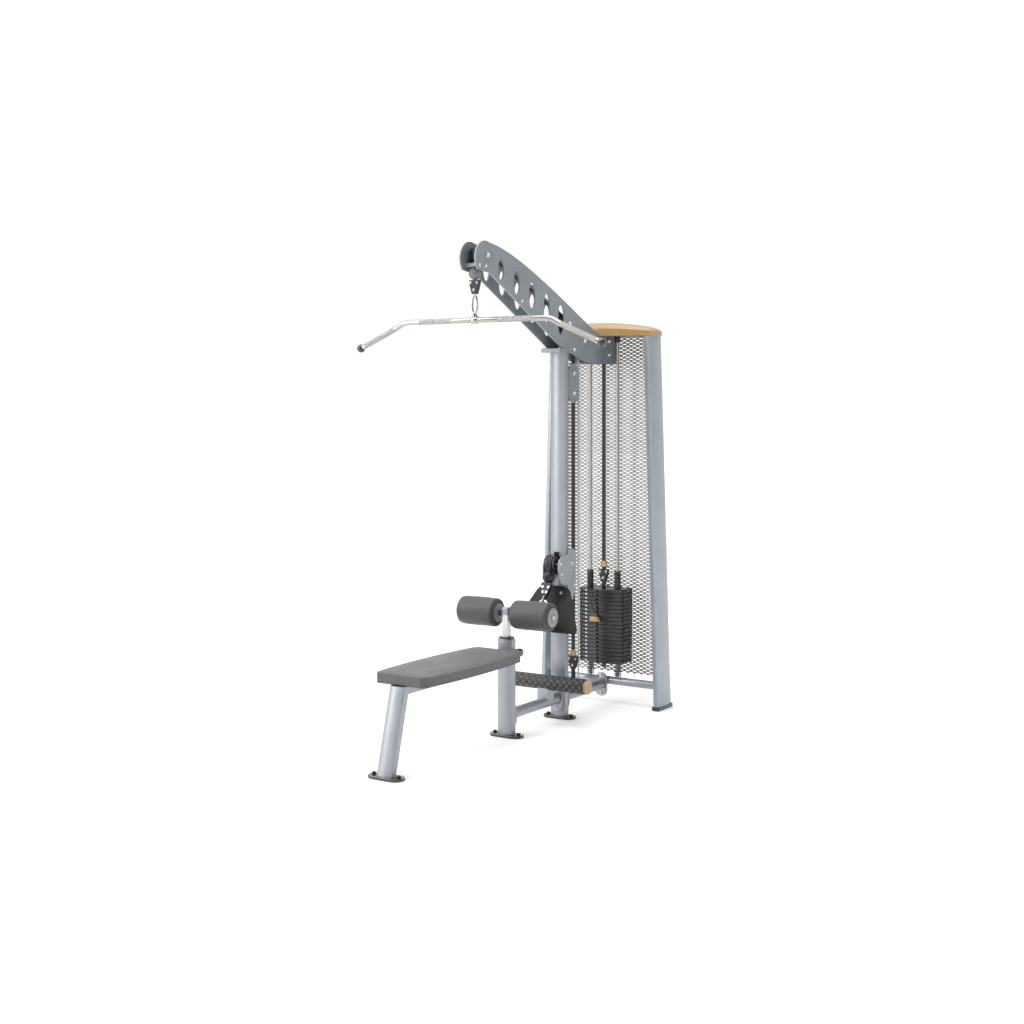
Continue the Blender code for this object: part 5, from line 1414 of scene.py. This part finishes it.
def make_stage():
    """Pale floor, soft lamps and the camera."""
    bpy.ops.object.select_all(action="DESELECT")
    bpy.ops.mesh.primitive_plane_add(size=60.0, location=(0, 0, 0))
    floor = bpy.context.object
    floor.name = "studio_floor"
    pale = Finish("pale_floor", (0.92, 0.92, 0.92), 0.8)
    pale.tint(pale.noise(1.5), 0.015)
    pale.shader.inputs["Emission Color"].default_value = (1.0, 1.0, 1.0, 1.0)
    pale.shader.inputs["Emission Strength"].default_value = 0.15
    floor.data.materials.append(pale.material)

    world = bpy.data.worlds.new("studio")
    bpy.context.scene.world = world
    world.use_nodes = True
    nodes, links = world.node_tree.nodes, world.node_tree.links
    direction = nodes.new("ShaderNodeTexCoord").outputs["Generated"]
    toward = nodes.new("ShaderNodeVectorMath")
    toward.operation = "DOT_PRODUCT"
    toward.inputs[1].default_value = (-0.545, 0.838, 0.0)
    links.new(direction, toward.inputs[0])
    studio = nodes.new("ShaderNodeMapRange")
    studio.interpolation_type = "SMOOTHSTEP"
    for socket, number in (("From Min", 0.05), ("From Max", 0.80), ("To Min", 0.16), ("To Max", 1.10)):
        studio.inputs[socket].default_value = number
    links.new(toward.outputs["Value"], studio.inputs["Value"])
    links.new(studio.outputs[0], nodes["Background"].inputs["Strength"])
    nodes["Background"].inputs["Color"].default_value = (1.0, 1.0, 1.0, 1.0)

    lamps = {"key": ((-2.9, -3.2, 2.3), (0.9, 3.4), 85.0), "fill": ((4.4, -2.6, 2.2), (0.8, 3.2), 34.0),
             "side": ((4.2, 2.4, 1.8), (0.7, 3.0), 40.0), "top": ((0.0, 0.2, 5.0), (3.0, 3.0), 60.0)}
    for name, (place, size, power) in lamps.items():
        light = bpy.data.lights.new(name, "AREA")
        light.shape = "RECTANGLE"
        light.size, light.size_y = size
        light.energy = power
        lamp = bpy.data.objects.new(name, light)
        lamp.location = place
        lamp.rotation_euler = (Vector((0, 0, 1.0)) - Vector(place)).to_track_quat("-Z", "Y").to_euler()
        bpy.context.collection.objects.link(lamp)

    sun = bpy.data.objects.new("sky_light", bpy.data.lights.new("sky_light", "SUN"))
    sun.data.energy = 3.0
    sun.data.angle = math.radians(80.0)
    sun.rotation_euler = (math.radians(24.0), math.radians(-22.0), 0.0)
    bpy.context.collection.objects.link(sun)

    camera = bpy.data.objects.new("camera", bpy.data.cameras.new("camera"))
    camera.location = (3.6076, -5.5331, 1.525)
    camera.rotation_euler = (math.radians(90.0), 0.0, math.radians(33.03))
    camera.data.sensor_width = 36.0
    camera.data.lens = 51.15
    camera.data.shift_y = -0.1104
    camera.data.clip_end = 200.0
    bpy.context.collection.objects.link(camera)
    bpy.context.scene.camera = camera
    bpy.context.scene.view_settings.view_transform = "Standard"


make_stage()

COATS = (
    (SILVER, "front_column floor_rail bench_leg bench_post seat_rail footrest_bracket "
     "low_pulley_bracket tower_cross_rail base_rail"),
    (BLUE_GREY, "column_cap boom_plate_right boom_plate_left tower_top_beam block_cheeks"),
    (TOWER_COAT, "tower_column_right tower_column_left"),
    (GOLD, "tower_lid selector_pin"),
    (BLACK, "leg_foot post_foot column_foot tower_foot_right tower_foot_left height_pin"),
    (PANEL, "back_panel"),
    (ROD, "guide_rod_right guide_rod_left block_guide_rod"),
    (CHROME, "lat_bar snap_link row_handle roller_axle"),
    (ZINC, "thigh_bar"),
    (PLATE_COAT, "top_plate lifted_plates resting_plates"),
    (DARK_STEEL, "stack_clevis lat_clevis row_clevis belt_anchor"),
    (NYLON, "head_pulley boom_pulley rear_pulley tower_pulley low_pulley redirect_pulley "
     "block_pulley_upper block_pulley_lower"),
    (BELT, "boom_belt lat_belt stack_belt anchor_belt"),
    (STOP_GREY, "lat_stop_ball"),
    (TREAD, "footrest_bar"),
    (RUBBER, "stack_bumper_right stack_bumper_left"),
    (SPLATTER, "shin_guard"),
    (VINYL, "seat_pad thigh_roller_right thigh_roller_left"),
)
for coat, nodes in COATS:
    for node in nodes.split():
        CAD[node].data.materials.clear()
        CAD[node].data.materials.append(coat)

for master in (BUTTON, HEXAGON):
    bpy.data.objects.remove(master)
